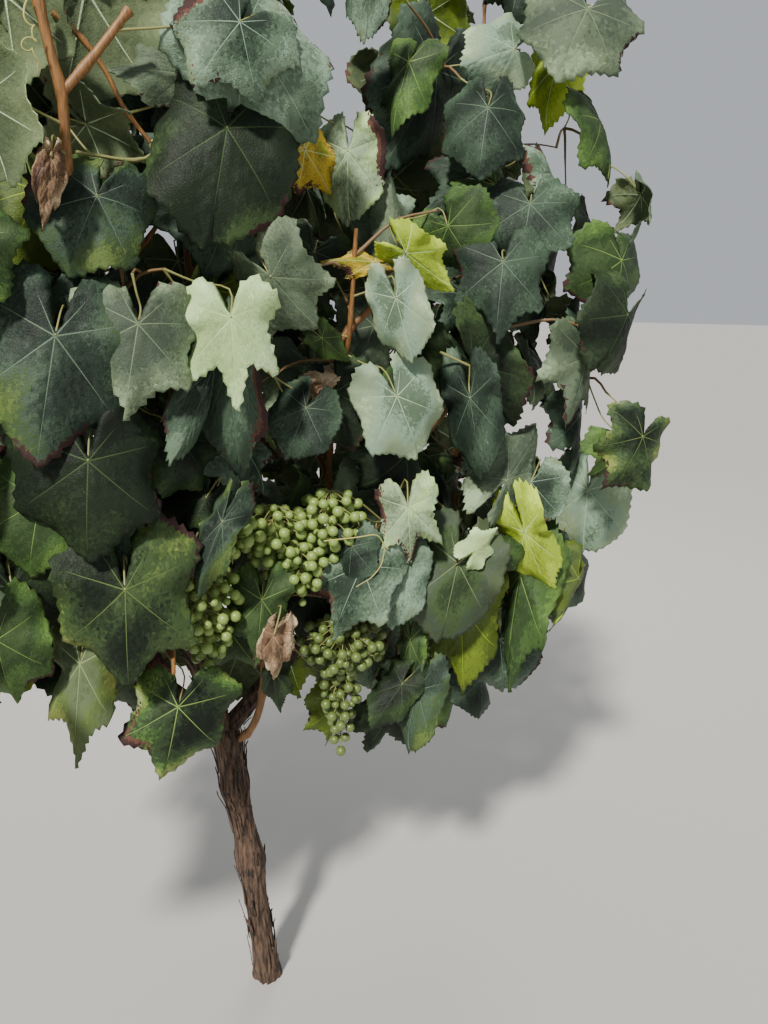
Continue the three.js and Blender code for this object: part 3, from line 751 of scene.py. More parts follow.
def rod(points, thick):
    """A rod of few faces that stands in for a limb or a bunch while leaves feel for room."""
    rings = []
    turns = np.arange(6) * math.pi / 3
    for i, p in enumerate(points):
        way = unit(points[min(i + 1, len(points) - 1)] - points[max(i - 1, 0)])
        side = unit(np.cross(way, (1, 0, 0) if abs(way[0]) < 0.8 else (0, 0, 1)))
        other = np.cross(way, side)
        rings.append(p + thick[i] * (np.cos(turns)[:, None] * side + np.sin(turns)[:, None] * other))
    faces = []
    for i in range(len(points) - 1):
        for k in range(6):
            a, b = i * 6 + k, i * 6 + (k + 1) % 6
            faces += [(a, b, b + 6), (a, b + 6, a + 6)]
    return body(np.vstack(rings), faces)


def knotted(way, share, thick, spacing):
    """A cane's places and its thickness, with knots as far apart as this."""
    knot = np.abs((share * way.length / spacing) % 1 - 0.5) * spacing
    return way.at(share), thick * (1 + KNOT_SWELL * np.exp(-((knot / KNOT_REACH) ** 2)))


def joints_of(way, begin):
    """The places along a cane where stalks can leave it."""
    return [way.at(s) for s in np.arange(begin, 1.0001, JOINT_STEP / way.length)]


class Growth:
    """Everything that grows on the arms: canes, twigs, stalks, tendrils and leaves."""

    def __init__(self, leaves_a_mass, leaf_width):
        self.leaf_width = leaf_width
        self.masses = find_masses()
        self.arms = {name: Way(points) for name, points in ARM_WAYS.items()}
        self.canes, self.twigs, self.stalks, self.tendrils = [], [], [], []
        self.leaves = []
        self.felt = []
        self.patterns = {kind: coarse_pattern(kind) for kind in LOBES}
        self.shown = []
        self.tell_leaves()
        self.hang_bunches()
        self.grow_canes()
        self.find_obstacles()
        self.place_told()
        for mass in self.masses:
            self.fill(mass, leaves_a_mass)

    def grow_canes(self):
        for arm, way in self.arms.items():
            fed = sorted((m for m in self.masses if m["arm"] == arm), key=lambda m: m["heart"][0])
            if arm.startswith("left"):
                fed.reverse()
            for i, mass in enumerate(fed):
                mass["start"] = way.at(mix(0.34, 0.965, i / (len(fed) - 1)))
        for mass in self.masses:
            bow = BOW.get(mass["name"], 0)
            way = cane_way(mass, mass["start"], bow) if mass["arm"] else Way(CENTRE_CANE)
            shares = np.arange(0.02, 1, 0.01)
            entry = next(
                s
                for s in shares
                if in_space(way.at(s), mass, self.masses, 12)
                and np.linalg.norm(way.at(s) - mass["heart"]) < ENTRY[mass["row"]]
            )
            mass["way"], mass["entry"] = way, entry
            count = max(8, round(way.length / POINT_STEP))
            share = np.linspace(0, SHOWN_TO.get(mass["name"], 1), count)
            thick = np.interp(share, [0, entry, 1], [CANE[0], CANE[1], STEM_TIP])
            self.canes.append(knotted(way, share, thick, KNOT_SPACING["cane"]))
            mass["joints"] = joints_of(way, entry)
            self.side_twigs(mass)
        for points, (base, tip) in TOLD_SHOOTS:
            way = Way([seen(*p) for p in points])
            share = np.linspace(0, 1, max(6, round(way.length / POINT_STEP)))
            shoots = self.canes if base > 2 else self.stalks
            shoots.append(knotted(way, share, mix(base, tip, share), KNOT_SPACING["shoot"]))
            self.nearest_mass(way.at(0.5))["joints"] += joints_of(way, 0)
        for curl, points in TOLD_TENDRILS:
            way = Way([seen(*p) for p in points])
            share = np.linspace(0, 1, 60)
            coil = curl * np.sin(share * math.pi) * smooth(share, 0.1, 0.5)
            turn = share * TENDRIL_TURN
            aside = np.stack([coil * np.cos(turn), coil * 0, coil * np.sin(turn)], 1)
            self.tendrils.append((way.at(share) + aside, mix(0.9, 0.5, share)))

    def side_twigs(self, mass):
        """Side twigs leave the stem one after another, turned by the golden angle."""
        draw = seeded(mass["seed"])
        turn = draw() * 2 * math.pi
        for share in FORKS:
            start = mass["way"].at(mix(mass["entry"], 1, share))
            for _ in range(TWIG_TRIES):
                turn += math.pi * (3 - math.sqrt(5))
                way = unit(np.array((math.cos(turn), math.sin(turn), 0.9 * (draw() - 0.35))))
                out = 20
                while out < TWIG_ROOM[1]:
                    ahead = start + way * out
                    if not inside_crown(ahead) or not in_space(ahead, mass, self.masses, 4):
                        break
                    out += 10
                if out < TWIG_ROOM[0]:
                    continue
                reach = min(out - 40, TWIG_REACH)
                end = start + way * reach
                middle = (start + end) / 2 + np.array((0, 0, 0.12 * reach))
                spread = unit(np.cross(way, UP) * (1 if draw() < 0.5 else -1) + 0.5 * way)
                branch = [middle, middle + spread * 0.3 * reach, middle + spread * 0.5 * reach - UP * 6]
                if self.veils(start, middle, end, branch[2]):
                    continue
                if self.crowded(rod(np.array([start, middle, end]), [3, 3, 3])):
                    continue
                self.add_twig(mass, [start, middle, end], 2.4, 1.3)
                self.add_twig(mass, branch, 1.6, 1)
                break

    def veils(self, *places):
        """Whether a twig through these places hangs below the crown or before what the eye should see."""
        return any(below_hem(p, 10) or self.hides(p, 7) for p in places)

    def add_twig(self, mass, points, base, tip):
        way = Way(points)
        share = np.linspace(0, 1, max(4, round(way.length / 12)))
        self.twigs.append((way.at(share), mix(base, tip, share)))
        mass["joints"] += [way.at(s) for s in np.linspace(0.3, 1, max(2, round(way.length / 24)))]

    def hang_bunches(self):
        """Keeps room for the bunches, in space and in the eye's view."""
        for _, top, length, width in BUNCHES:
            share = np.linspace(0.02, 0.98, 7)
            thick = 0.5 * width * np.sin(math.pi * share ** BUNCH_FORM[0]) ** BUNCH_FORM[1]
            places = np.array(top, float) - np.stack([share * 0, share * 0, share * length], 1)
            self.felt.append(rod(places, thick + 4))
            if top[1] < 0:
                for part in (0.25, 0.5, 0.75):
                    u, v, far = pictured(np.array(top, float) - (0, 0, part * length))
                    self.shown.append((u, v, 0.42 * width * LENS / far, far))

    def find_obstacles(self):
        """What leaves keep clear of, in space and in the eye's view."""
        for points, thick in self.canes:
            self.felt.append(rod(points[::4], thick[::4] + 1))
        trunk = Way(TRUNK_WAY)
        share = np.linspace(0, 1, 12)
        self.felt.append(rod(trunk.at(share), np.full(12, 26.0)))
        for way in self.arms.values():
            self.felt.append(rod(way.at(share), mix(*ARM, share) + 2))
        for height in range(60, 420, 45):
            u, v, far = pictured(trunk.at(height / TRUNK["head"]))
            self.shown.append((u, v, 24, far))
        for x, z, radius in WINDOWS:
            u, v, far = pictured(np.array((x, 0.0, z)))
            self.shown.append((u, v, radius * LENS / far, 1e6))

    def feel(self, leaf):
        pattern = self.patterns[leaf["kind"]]
        places = bent(pattern, leaf)
        leaf["inside"] = bool(np.all(places > REACH[0]) and np.all(places < REACH[1]))
        return body(places, pattern["faces"].tolist())

    def crowded(self, felt):
        middle, radius, tree = felt
        for other, room, solid in self.felt:
            if np.linalg.norm(other - middle) < radius + room and tree.overlap(solid):
                return True
        return False

    def nearest_mass(self, place):
        return min(self.masses, key=lambda m: np.linalg.norm(m["heart"] - place))

    def tell_leaves(self):
        """The leaves that are told apart, shaped before anything else grows."""
        self.told = []
        for k, (foot, tip, near, far, wide, turn, fold, droop, kind, palette) in enumerate(TOLD):
            place, end = seen(*foot, near), seen(*tip, far)
            reach = np.linalg.norm(end - place)
            tip_way, normal = facing(end - place, EYE - (place + end) / 2)
            draw = np.random.default_rng(TOLD_SEED + k)
            dead = palette in ("dead", "withered")
            span = 2 * np.abs(self.patterns[kind]["flat"][:, 1]).max() + 0.06
            across = wide * pictured(place)[2] / LENS / (reach * span)
            leaf = {
                "place": place,
                "tip": tip_way,
                "normal": turned(normal, tip_way, turn),
                "reach": reach * (1 + 0.06 * abs(droop)),
                "wide": across / abs(math.cos(math.radians(turn))),
                "fold": fold,
                "droop": droop,
                "roll": 1.5 if dead else draw.uniform(0.1, 0.6),
                "dust": draw.uniform(-0.5, 1),
                "curl": 1.6 if dead else 0.35 + 0.3 * draw.random(),
                "wave": 1.6 if dead else 0.7 + 0.4 * draw.random(),
                "pucker": 2.4 if dead or palette == "pucker" else 0.8,
                "shrunk": 0.4 if dead else 1,
                "twist": draw.uniform(-8, 8),
                "kind": kind,
                "palette": palette,
                "seed": TOLD_SEED + k,
                "told": True,
            }
            felt = self.feel(leaf)
            self.felt.append(felt)
            self.told.append((leaf, felt))

    def place_told(self):
        for leaf, felt in self.told:
            place = leaf["place"]
            self.add_leaf(leaf, self.nearest_mass(place), felt)
            u, v, away = pictured(place + 0.5 * leaf["reach"] * leaf["tip"])
            self.shown.append((u, v, 0.55 * leaf["reach"] * LENS / away, away))

    def add_leaf(self, leaf, mass, felt):
        leaf["mass"] = mass["name"]
        self.leaves.append(leaf)
        mass.setdefault("taken", []).append(felt[0])
        place, tip, normal = leaf["place"], leaf["tip"], leaf["normal"]
        joints = np.array([j for m in self.masses for j in m["joints"]])
        away = np.linalg.norm(joints - place, axis=1) + 1.5 * np.maximum(0, (joints - place) @ normal)
        ways = []
        for foot in joints[np.argsort(away)[:STALK_JOINTS]]:
            gap = np.linalg.norm(foot - place)
            neck = place - tip * min(34, 0.4 * gap) - normal * min(22, 0.3 * gap)
            fork = mix(foot, neck, (gap - FORKED_STALK) / gap) if gap > LONG_STALK else foot
            bow = (foot + fork) / 2 + UP * 8
            ways.append((foot, bow, fork, neck))
            if gap <= LONG_STALK or not self.veils(bow, mix(bow, fork, 0.6)):
                break
        else:
            ways.append(ways[0])
        foot, bow, fork, neck = ways[-1]
        if fork is not foot:
            self.add_twig(mass, [foot, bow, fork], 2.2, 1.5)
            foot = fork
        way = Way([foot, (foot + neck) / 2 - UP * 3, neck, place + normal * 0.1])
        share = np.linspace(0, 1, 12)
        thick = np.interp(share, [0, 0.12, 0.85, 1], [1.7, 1.15, 1.0, 1.3])
        self.stalks.append((way.at(share), thick))

    def covers(self, place, reach):
        """Whether a leaf would hide what the eye should see."""
        radius = 0.75 * reach * LENS / pictured(place)[2]
        return below_hem(place, 0.85 * radius) or self.hides(place, radius)

    def hides(self, place, radius):
        """Whether something as wide as this in the picture is in front of what the eye should see."""
        u, v, far = pictured(place)
        for x, y, size, away in self.shown:
            apart = math.hypot(u - x, v - y)
            if away > 1e5:
                if apart < size + 0.9 * radius:
                    return True
            elif far < away + 15 and apart < 0.8 * size + 0.8 * radius:
                return True
        return False

    def leaf_place(self, mass, draw):
        best, room_best = None, -1
        for _ in range(PLACE_TRIES):
            x = mass["heart"][0] + (draw() - 0.5) * SPREAD[0]
            z = mass["heart"][2] + (draw() - 0.5) * SPREAD[1]
            outer = draw() ** 0.55
            side = mass["sign"] or (-1 if draw() < 0.5 else 1)
            place = np.array((x, side * crown_depth(x, z) * outer, z))
            if not inside_crown(place, 40) or not in_space(place, mass, self.masses, 10):
                continue
            taken = mass.get("taken", [])
            room = min([500, *(np.linalg.norm(other - place) for other in taken)])
            if room > room_best:
                best, room_best = place, room
        return best

    def fill(self, mass, count):
        draw = seeded(mass["seed"] + 7)
        count = round(count * (TOP_SHARE if mass["row"] == "top" else 1))
        middle = (CROWN["left"] + CROWN["right"]) / 2
        for _ in range(count):
            for _ in range(LEAF_TRIES):
                place = self.leaf_place(mass, draw)
                if place is None:
                    continue
                outward = np.array(
                    (
                        0.9 * ((place[0] - middle) / 520) ** 3,
                        place[1] / crown_depth(place[0], place[2]),
                        0.2 + 0.8 * float(smooth(place[2], 1330, 1560)),
                    )
                )
                normal = unit(unit(outward) + np.array((draw() - 0.5, draw() - 0.5, draw() - 0.3)))
                tip = np.array((1.5 * (draw() - 0.5), 0.35 * normal[1], -1))
                tip, normal = facing(tip, normal)
                width = self.leaf_width + (draw() - 0.5) * 44
                seed = int(draw() * 1e6)
                leaf = {
                    "place": place,
                    "tip": tip,
                    "normal": normal,
                    "reach": width / LEAF_RATIO,
                    "wide": 0.85 + 0.3 * draw(),
                    "fold": 4 + 14 * draw(),
                    "droop": 0.2 + 0.6 * draw(),
                    "roll": 0.15 + 0.6 * draw(),
                    "dust": 1.5 * draw() - 0.5,
                    "curl": 0.2 + 0.6 * draw(),
                    "wave": 0.6 + 0.8 * draw(),
                    "pucker": 0.5 + 0.8 * draw(),
                    "shrunk": 1,
                    "twist": 24 * (draw() - 0.5),
                    "kind": KINDS[int(draw() * len(KINDS))],
                    "palette": TONES[int(draw() * len(TONES))],
                    "seed": seed,
                    "told": False,
                }
                if self.covers(place + tip * 0.3 * leaf["reach"], leaf["reach"]):
                    continue
                felt = self.feel(leaf)
                if not leaf["inside"] or self.crowded(felt):
                    continue
                self.felt.append(felt)
                self.add_leaf(leaf, mass, felt)
                break


grown = {}


def growth():
    """The growth for the sizes in use, worked out once."""
    sizes = bpy.context.scene.grapevine_sizes
    key = (sizes.leaves_a_mass, round(sizes.leaf_width / MM, 3))
    if key not in grown:
        grown[key] = Growth(*key)
    return grown[key]


# Materials: how fine a leaf's veins and dust are, its relief, and its roughness and felt by kind
LEAF_NET = 330
LEAF_DUST = 480
LEAF_RELIEF = (0.45, 0.0004)
MATTE, GLOSSY = (0.82, 1.5), (0.56, 1.0)
MATTE_TINTS = ("felt", "straw", "scorch", "rust")


def linear(rgb):
    return [((c / 255 + 0.055) / 1.055) ** 2.4 if c > 10 else c / 255 / 12.92 for c in rgb]


def add_node(tree, kind, sockets=None, **settings):
    """A node with its settings and the values of its sockets."""
    node = tree.nodes.new(kind)
    for title, value in settings.items():
        setattr(node, title, value)
    for title, value in (sockets or {}).items():
        node.inputs[title].default_value = value
    return node


def new_skin(name, sockets):
    """A skin with the values of its shader, and the coordinates that its patterns follow."""
    skin = bpy.data.materials.new(name)
    skin.use_nodes = True
    shader = skin.node_tree.nodes["Principled BSDF"]
    for title, value in sockets.items():
        shader.inputs[title].default_value = value
    return skin, add_node(skin.node_tree, "ShaderNodeTexCoord").outputs["Object"]


def roughened(skin, pattern, gloss, height, relief):
    """Gives a skin gloss that varies with a pattern, and relief as high as a pattern says."""
    tree = skin.node_tree
    shader = tree.nodes["Principled BSDF"]
    shine = add_node(tree, "ShaderNodeMapRange", {"To Min": gloss[0], "To Max": gloss[1]})
    tree.links.new(pattern, shine.inputs["Value"])
    tree.links.new(shine.outputs["Result"], shader.inputs["Roughness"])
    bump = add_node(tree, "ShaderNodeBump", {"Strength": relief[0], "Distance": relief[1]})
    tree.links.new(height, bump.inputs["Height"])
    tree.links.new(bump.outputs["Normal"], shader.inputs["Normal"])
    return skin


def plain_skin(name, colour, roughness, grain, depth, coat=0.0):
    """A skin of one colour with uneven gloss and a fine relief."""
    shader = {"Base Color": (*colour, 1), "Coat Weight": coat, "Coat Roughness": 0.35}
    skin, place = new_skin(name, shader)
    fine = add_node(skin.node_tree, "ShaderNodeTexNoise", {"Scale": grain, "Detail": 5})
    skin.node_tree.links.new(place, fine.inputs["Vector"])
    fine = fine.outputs["Fac"]
    return roughened(skin, fine, (roughness - 0.12, roughness + 0.12), fine, (0.6, depth))


def stepped(ramp):
    """A ramp's tones with one halfway between each two that differ."""
    names = ramp.split()
    tones = names[:1]
    for a, b in zip(names, names[1:]):
        tones += [b] if a == b else [f"{a}+{b}", b]
    return tones


def leaf_skins():
    """The plain colours that leaves wear, by name."""
    hues = bpy.context.scene.grapevine_colours
    ramps = {"dark": hues.dark_leaf, "teal": hues.teal_leaf, "grey": hues.dusty_leaf}
    skins = {}
    worn = []
    for ramp, rib, *_ in [*PALETTES.values(), *UNDERSIDES.values()]:
        worn += [*stepped(ramp), rib]
    for name in dict.fromkeys([*worn, "scorch", "rust"]):
        colour = linear(np.mean([COLOURS[part] for part in name.split("+")], axis=0))
        ramp = name.split("_")[0]
        if ramp in ramps:
            middle = linear(COLOURS[f"{ramp}_1"])
            colour = [min(1, c * hue / m) for c, hue, m in zip(colour, ramps[ramp], middle)]
        title = f"leaf_{name}".replace("+", "_to_")
        skins[name] = leaf_skin(title, colour, *(MATTE if ramp in MATTE_TINTS else GLOSSY))
    return skins


def leaf_skin(name, colour, roughness, felt):
    """A leaf's skin of one colour: relief of small veins and dust, and gloss that the dust dulls."""
    skin, place = new_skin(name, {"Base Color": (*colour, 1), "Specular IOR Level": 0.2})
    tree = skin.node_tree
    net = add_node(tree, "ShaderNodeTexVoronoi", feature="DISTANCE_TO_EDGE")
    net.inputs["Scale"].default_value = LEAF_NET
    net.inputs["Randomness"].default_value = 1
    dust = add_node(tree, "ShaderNodeTexNoise", {"Scale": LEAF_DUST, "Detail": 4, "Roughness": 0.7})
    cells = add_node(tree, "ShaderNodeMapRange", {"From Max": 0.22})
    both = add_node(tree, "ShaderNodeMath", {1: 0.9 * felt}, operation="MULTIPLY_ADD")
    for source, target in (
        (place, net.inputs["Vector"]),
        (place, dust.inputs["Vector"]),
        (net.outputs["Distance"], cells.inputs["Value"]),
        (dust.outputs["Fac"], both.inputs[0]),
        (cells.outputs["Result"], both.inputs[2]),
    ):
        tree.links.new(source, target)
    gloss = (roughness + 0.14, roughness - 0.1)
    return roughened(skin, dust.outputs["Fac"], gloss, both.outputs["Value"], LEAF_RELIEF)


def streaked_skin(name, light, dark, stretch, roughness, depth):
    """Bark or cane skin: fibres that run lengthwise, with dark lines between them."""
    skin, place = new_skin(name, {})
    tree = skin.node_tree
    turn = add_node(tree, "ShaderNodeMapping", {"Scale": stretch})
    fibre = add_node(tree, "ShaderNodeTexNoise", {"Scale": 1, "Detail": 8, "Roughness": 0.65})
    ramp = add_node(tree, "ShaderNodeValToRGB")
    for element, position, colour in zip(ramp.color_ramp.elements, (0.38, 0.68), (dark, light)):
        element.position = position
        element.color = (*colour, 1)
    fibres = fibre.outputs["Fac"]
    tree.links.new(place, turn.inputs["Vector"])
    tree.links.new(turn.outputs["Vector"], fibre.inputs["Vector"])
    tree.links.new(fibres, ramp.inputs["Fac"])
    tree.links.new(ramp.outputs["Color"], tree.nodes["Principled BSDF"].inputs["Base Color"])
    return roughened(skin, fibres, (min(1, roughness + 0.1), roughness - 0.1), fibres, (0.8, depth))


# Meshes
def piece_of(name, places, faces, skins, tones, flat=None):
    """A joined mesh from arrays: places in millimetres, triangles and their skins."""
    mesh = bpy.data.meshes.new(name)
    mesh.vertices.add(len(places))
    mesh.vertices.foreach_set("co", (np.asarray(places) * MM).ravel())
    mesh.loops.add(len(faces) * 3)
    mesh.loops.foreach_set("vertex_index", np.asarray(faces, np.int32).ravel())
    mesh.polygons.add(len(faces))
    mesh.polygons.foreach_set("loop_start", np.arange(len(faces), dtype=np.int32) * 3)
    for skin in skins:
        mesh.materials.append(skin)
    mesh.polygons.foreach_set("material_index", np.asarray(tones, np.int32))
    mesh.update(calc_edges=True)
    sharp = np.zeros(len(faces), bool) if flat is None else flat
    mesh.polygons.foreach_set("use_smooth", ~sharp)
    mesh.validate()
    piece = bpy.data.objects.new(name, mesh)
    bpy.context.scene.collection.objects.link(piece)
    return piece


def belongs(piece, nodes):
    """Says that a piece moves with the plant and stands for some of its solids."""
    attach(piece, "root")
    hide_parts(*nodes)


def modified(name, mesh, tree, values):
    """A mesh grown by a node tree on it, as a plain mesh."""
    base = bpy.data.objects.new(name, mesh)
    bpy.context.scene.collection.objects.link(base)
    grow = base.modifiers.new("growth", "NODES")
    grow.node_group = tree
    for item in tree.interface.items_tree:
        if item.item_type == "SOCKET" and item.in_out == "INPUT" and item.name in values:
            grow[item.identifier] = values[item.name]
    drawn = base.evaluated_get(bpy.context.evaluated_depsgraph_get())
    made = bpy.data.meshes.new_from_object(drawn)
    base.modifiers.remove(grow)
    old = base.data
    base.data = made
    bpy.data.meshes.remove(old)
    return base


# The nodes that both trees have, each with the values of its sockets and its settings
SHARED_NODES = {
    "given": ("NodeGroupInput", {}, {}),
    "size": ("GeometryNodeInputNamedAttribute", {"Name": "thick"}, {"data_type": "FLOAT"}),
    "shade": ("GeometryNodeSetShadeSmooth", {}, {}),
    "real": ("GeometryNodeRealizeInstances", {}, {}),
    "skin": ("GeometryNodeSetMaterial", {}, {}),
    "result": ("NodeGroupOutput", {}, {}),
}


def grow_tree(name, count, own_nodes, links):
    """A node tree on a mesh: its sockets, its nodes, and links as node and socket to node and socket."""
    tree = bpy.data.node_groups.new(name, "GeometryNodeTree")
    for title, kind in (("Geometry", "Geometry"), (count, "Int"), ("Skin", "Material")):
        tree.interface.new_socket(title, in_out="INPUT", socket_type=f"NodeSocket{kind}")
    tree.interface.new_socket("Geometry", in_out="OUTPUT", socket_type="NodeSocketGeometry")
    nodes = {}
    for title, (kind, sockets, settings) in {**SHARED_NODES, **own_nodes}.items():
        nodes[title] = add_node(tree, kind, sockets, **settings)
    ends = [("given", "Skin", "skin", "Material"), ("skin", "Geometry", "result", "Geometry")]
    for source, out, target, into in links + ends:
        tree.links.new(nodes[source].outputs[out], nodes[target].inputs[into])
    return tree


def tube_tree():
    """Lines of points become round wood as thick as each point says."""
    nodes = {
        "line": ("GeometryNodeMeshToCurve", {}, {}),
        "ring": ("GeometryNodeCurvePrimitiveCircle", {"Radius": 1}, {}),
        "tube": ("GeometryNodeCurveToMesh", {"Fill Caps": True}, {}),
    }
    links = [
        ("given", "Geometry", "line", "Mesh"),
        ("line", "Curve", "tube", "Curve"),
        ("given", "Sides", "ring", "Resolution"),
        ("ring", "Curve", "tube", "Profile Curve"),
        ("size", "Attribute", "tube", "Scale"),
        ("tube", "Mesh", "shade", "Geometry"),
        ("shade", "Geometry", "real", "Geometry"),
        ("real", "Geometry", "skin", "Geometry"),
    ]
    return grow_tree("Round wood", "Sides", nodes, links)


def berry_tree():
    """Points become berries as large as each point says."""
    spin = {"Max": (FULL_TURN, FULL_TURN, FULL_TURN), "Seed": 5}
    nodes = {
        "ball": ("GeometryNodeMeshIcoSphere", {"Radius": 1}, {}),
        "spread": ("GeometryNodeInstanceOnPoints", {}, {}),
        "turn": ("FunctionNodeRandomValue", spin, {"data_type": "FLOAT_VECTOR"}),
    }
    links = [
        ("given", "Geometry", "spread", "Points"),
        ("given", "Roundness", "ball", "Subdivisions"),
        ("ball", "Mesh", "spread", "Instance"),
        ("size", "Attribute", "spread", "Scale"),
        ("turn", "Value", "spread", "Rotation"),
        ("spread", "Instances", "real", "Geometry"),
        ("real", "Geometry", "shade", "Geometry"),
        ("shade", "Geometry", "skin", "Geometry"),
    ]
    return grow_tree("Berries", "Roundness", nodes, links)


def point_mesh(name, places, thick, edges=()):
    """Points in millimetres, each with its thickness, and the lines between them."""
    mesh = bpy.data.meshes.new(name)
    mesh.from_pydata((np.array(places) * MM).tolist(), edges, [])
    mesh.attributes.new("thick", "FLOAT", "POINT").data.foreach_set("value", np.array(thick) * MM)
    return mesh


def tubes(name, strands, sides, skin, nodes):
    """A piece of round wood from strands, each a line of places with their thickness."""
    edges, start = [], 0
    for places, _ in strands:
        edges += [(start + i, start + i + 1) for i in range(len(places) - 1)]
        start += len(places)
    mesh = point_mesh(name, *(np.concatenate(part) for part in zip(*strands)), edges)
    belongs(modified(name, mesh, tube_tree(), {"Sides": sides, "Skin": skin}), nodes)


def cell_noise(x, y, wrap, seed):
    """Smooth noise on a grid that closes on itself after wrap cells across."""
    table = np.random.default_rng(seed).random((256, wrap))
    i, j = np.floor(x).astype(int), np.floor(y).astype(int)
    s, t = x - i, y - j
    s, t = s * s * (3 - 2 * s), t * t * (3 - 2 * t)
    low = mix(table[j % 256, i % wrap], table[j % 256, (i + 1) % wrap], s)
    high = mix(table[(j + 1) % 256, i % wrap], table[(j + 1) % 256, (i + 1) % wrap], s)
    return mix(low, high, t)


def bark_relief(turn, run, radius, seed):
    """How far old bark stands out: long fibres, plates between cracks, and crumbs."""
    around = turn / (2 * math.pi)
    drift = 0.8 * cell_noise(around * 5 % 5, run / 60, 5, seed)
    fibres = cell_noise((around * 16 + drift) % 16, run / 42, 16, seed + 1)
    fine = cell_noise((around * 34 + 2 * drift) % 34, run / 20, 34, seed + 2)
    plates = cell_noise((around * 7 + drift) % 7, run / 75, 7, seed + 3)
    crumbs = cell_noise(around * 48 % 48, run / 6, 48, seed + 4)
    ridge = 1 - np.abs(2 * fibres - 1)
    return radius * (0.19 * ridge + 0.1 * fine + 0.2 * (plates - 0.5) + 0.05 * crumbs - 0.19)


def bark_tube(way, start, radius_at, seed, around, step, foot):
    """A limb of old wood with its relief, closed at both ends."""
    length = way.length * (1 - start)
    count = round(length / step)
    share = np.linspace(0, 1, count + 1)
    along = mix(start, 1, share)
    spine, heading = way.at(along), way.heading(along)
    turn = np.arange(around) / around * 2 * math.pi
    middle = np.abs(heading[count // 2])
    reference = (0, 0, 1.0) if middle[0] > middle[2] else (1.0, 0, 0)
    across = np.cross(reference, heading)
    across /= np.linalg.norm(across, axis=1, keepdims=True)
    other = np.cross(across, heading)
    base = radius_at(along)[:, None]
    out = base + bark_relief(*np.meshgrid(turn, share * length), base, seed)
    places = spine[:, None] + out[..., None] * (
        np.cos(turn)[None, :, None] * across[:, None] + np.sin(turn)[None, :, None] * other[:, None]
    )
    places = places.reshape(-1, 3)
    if foot:
        places[:around, 2] = 0
        places[:, 2] = np.maximum(places[:, 2], 0)
    faces = []
    for i in range(count):
        for k in range(around):
            a, b = i * around + k, i * around + (k + 1) % around
            faces += [(a, b + around, b), (a, a + around, b + around)]
    low, high = len(places), len(places) + 1
    ends = [spine[0] * ((1, 1, 0) if foot else (1, 1, 1)), spine[-1] + heading[-1] * 0.4 * out[-1].mean()]
    places = np.vstack([places, ends])
    last = count * around
    for k in range(around):
        faces.append((low, k, (k + 1) % around))
        faces.append((high, last + (k + 1) % around, last + k))
    return places, np.array(faces), (spine, heading, across, other, out)


def bark_shred(frame_of, at, turn, length, width, lift, step, draw):
    """A strip of bark that has come away at one end."""
    spine, heading, across, other, out = frame_of
    count = max(3, round(length / 8))
    rings = []
    for k in range(count + 1):
        i = min(len(spine) - 1, at + round(k * length / count / step))
        away = lift * (k / count) ** 2 + 0.6
        swing = turn + 0.25 * (k / count) * (draw() - 0.5)
        outward = math.cos(swing) * across[i] + math.sin(swing) * other[i]
        sideways = np.cross(heading[i], outward)
        radius = out[i].max() * 0.97 + away
        wide = width * (0.5 - 0.35 * (k / count) ** 2)
        for side, deep in ((-1, 0.5), (1, 0.5), (1, -0.5), (-1, -0.5)):
            rings.append(spine[i] + outward * (radius + deep) + sideways * side * wide)
    faces = []
    for k in range(count):
        for s in range(4):
            a, b = k * 4 + s, k * 4 + (s + 1) % 4
            faces += [(a, b, b + 4), (a, b + 4, a + 4)]
    e = count * 4
    faces += [(0, 2, 1), (0, 3, 2), (e, e + 1, e + 2), (e, e + 2, e + 3)]
    return np.array(rings), np.array(faces)


def outward_faces(piece):
    """Turns a closed mesh's faces outwards."""
    work = bmesh.new()
    work.from_mesh(piece.data)
    bmesh.ops.recalc_face_normals(work, faces=work.faces)
    work.to_mesh(piece.data)
    work.free()


def join_parts(parts):
    """One set of places and faces from many, and of what else is said of the faces."""
    moved, start = [], 0
    for places, faces, *others in parts:
        moved.append((places, faces + start, *others))
        start += len(places)
    return [np.concatenate(part) for part in zip(*moved)]


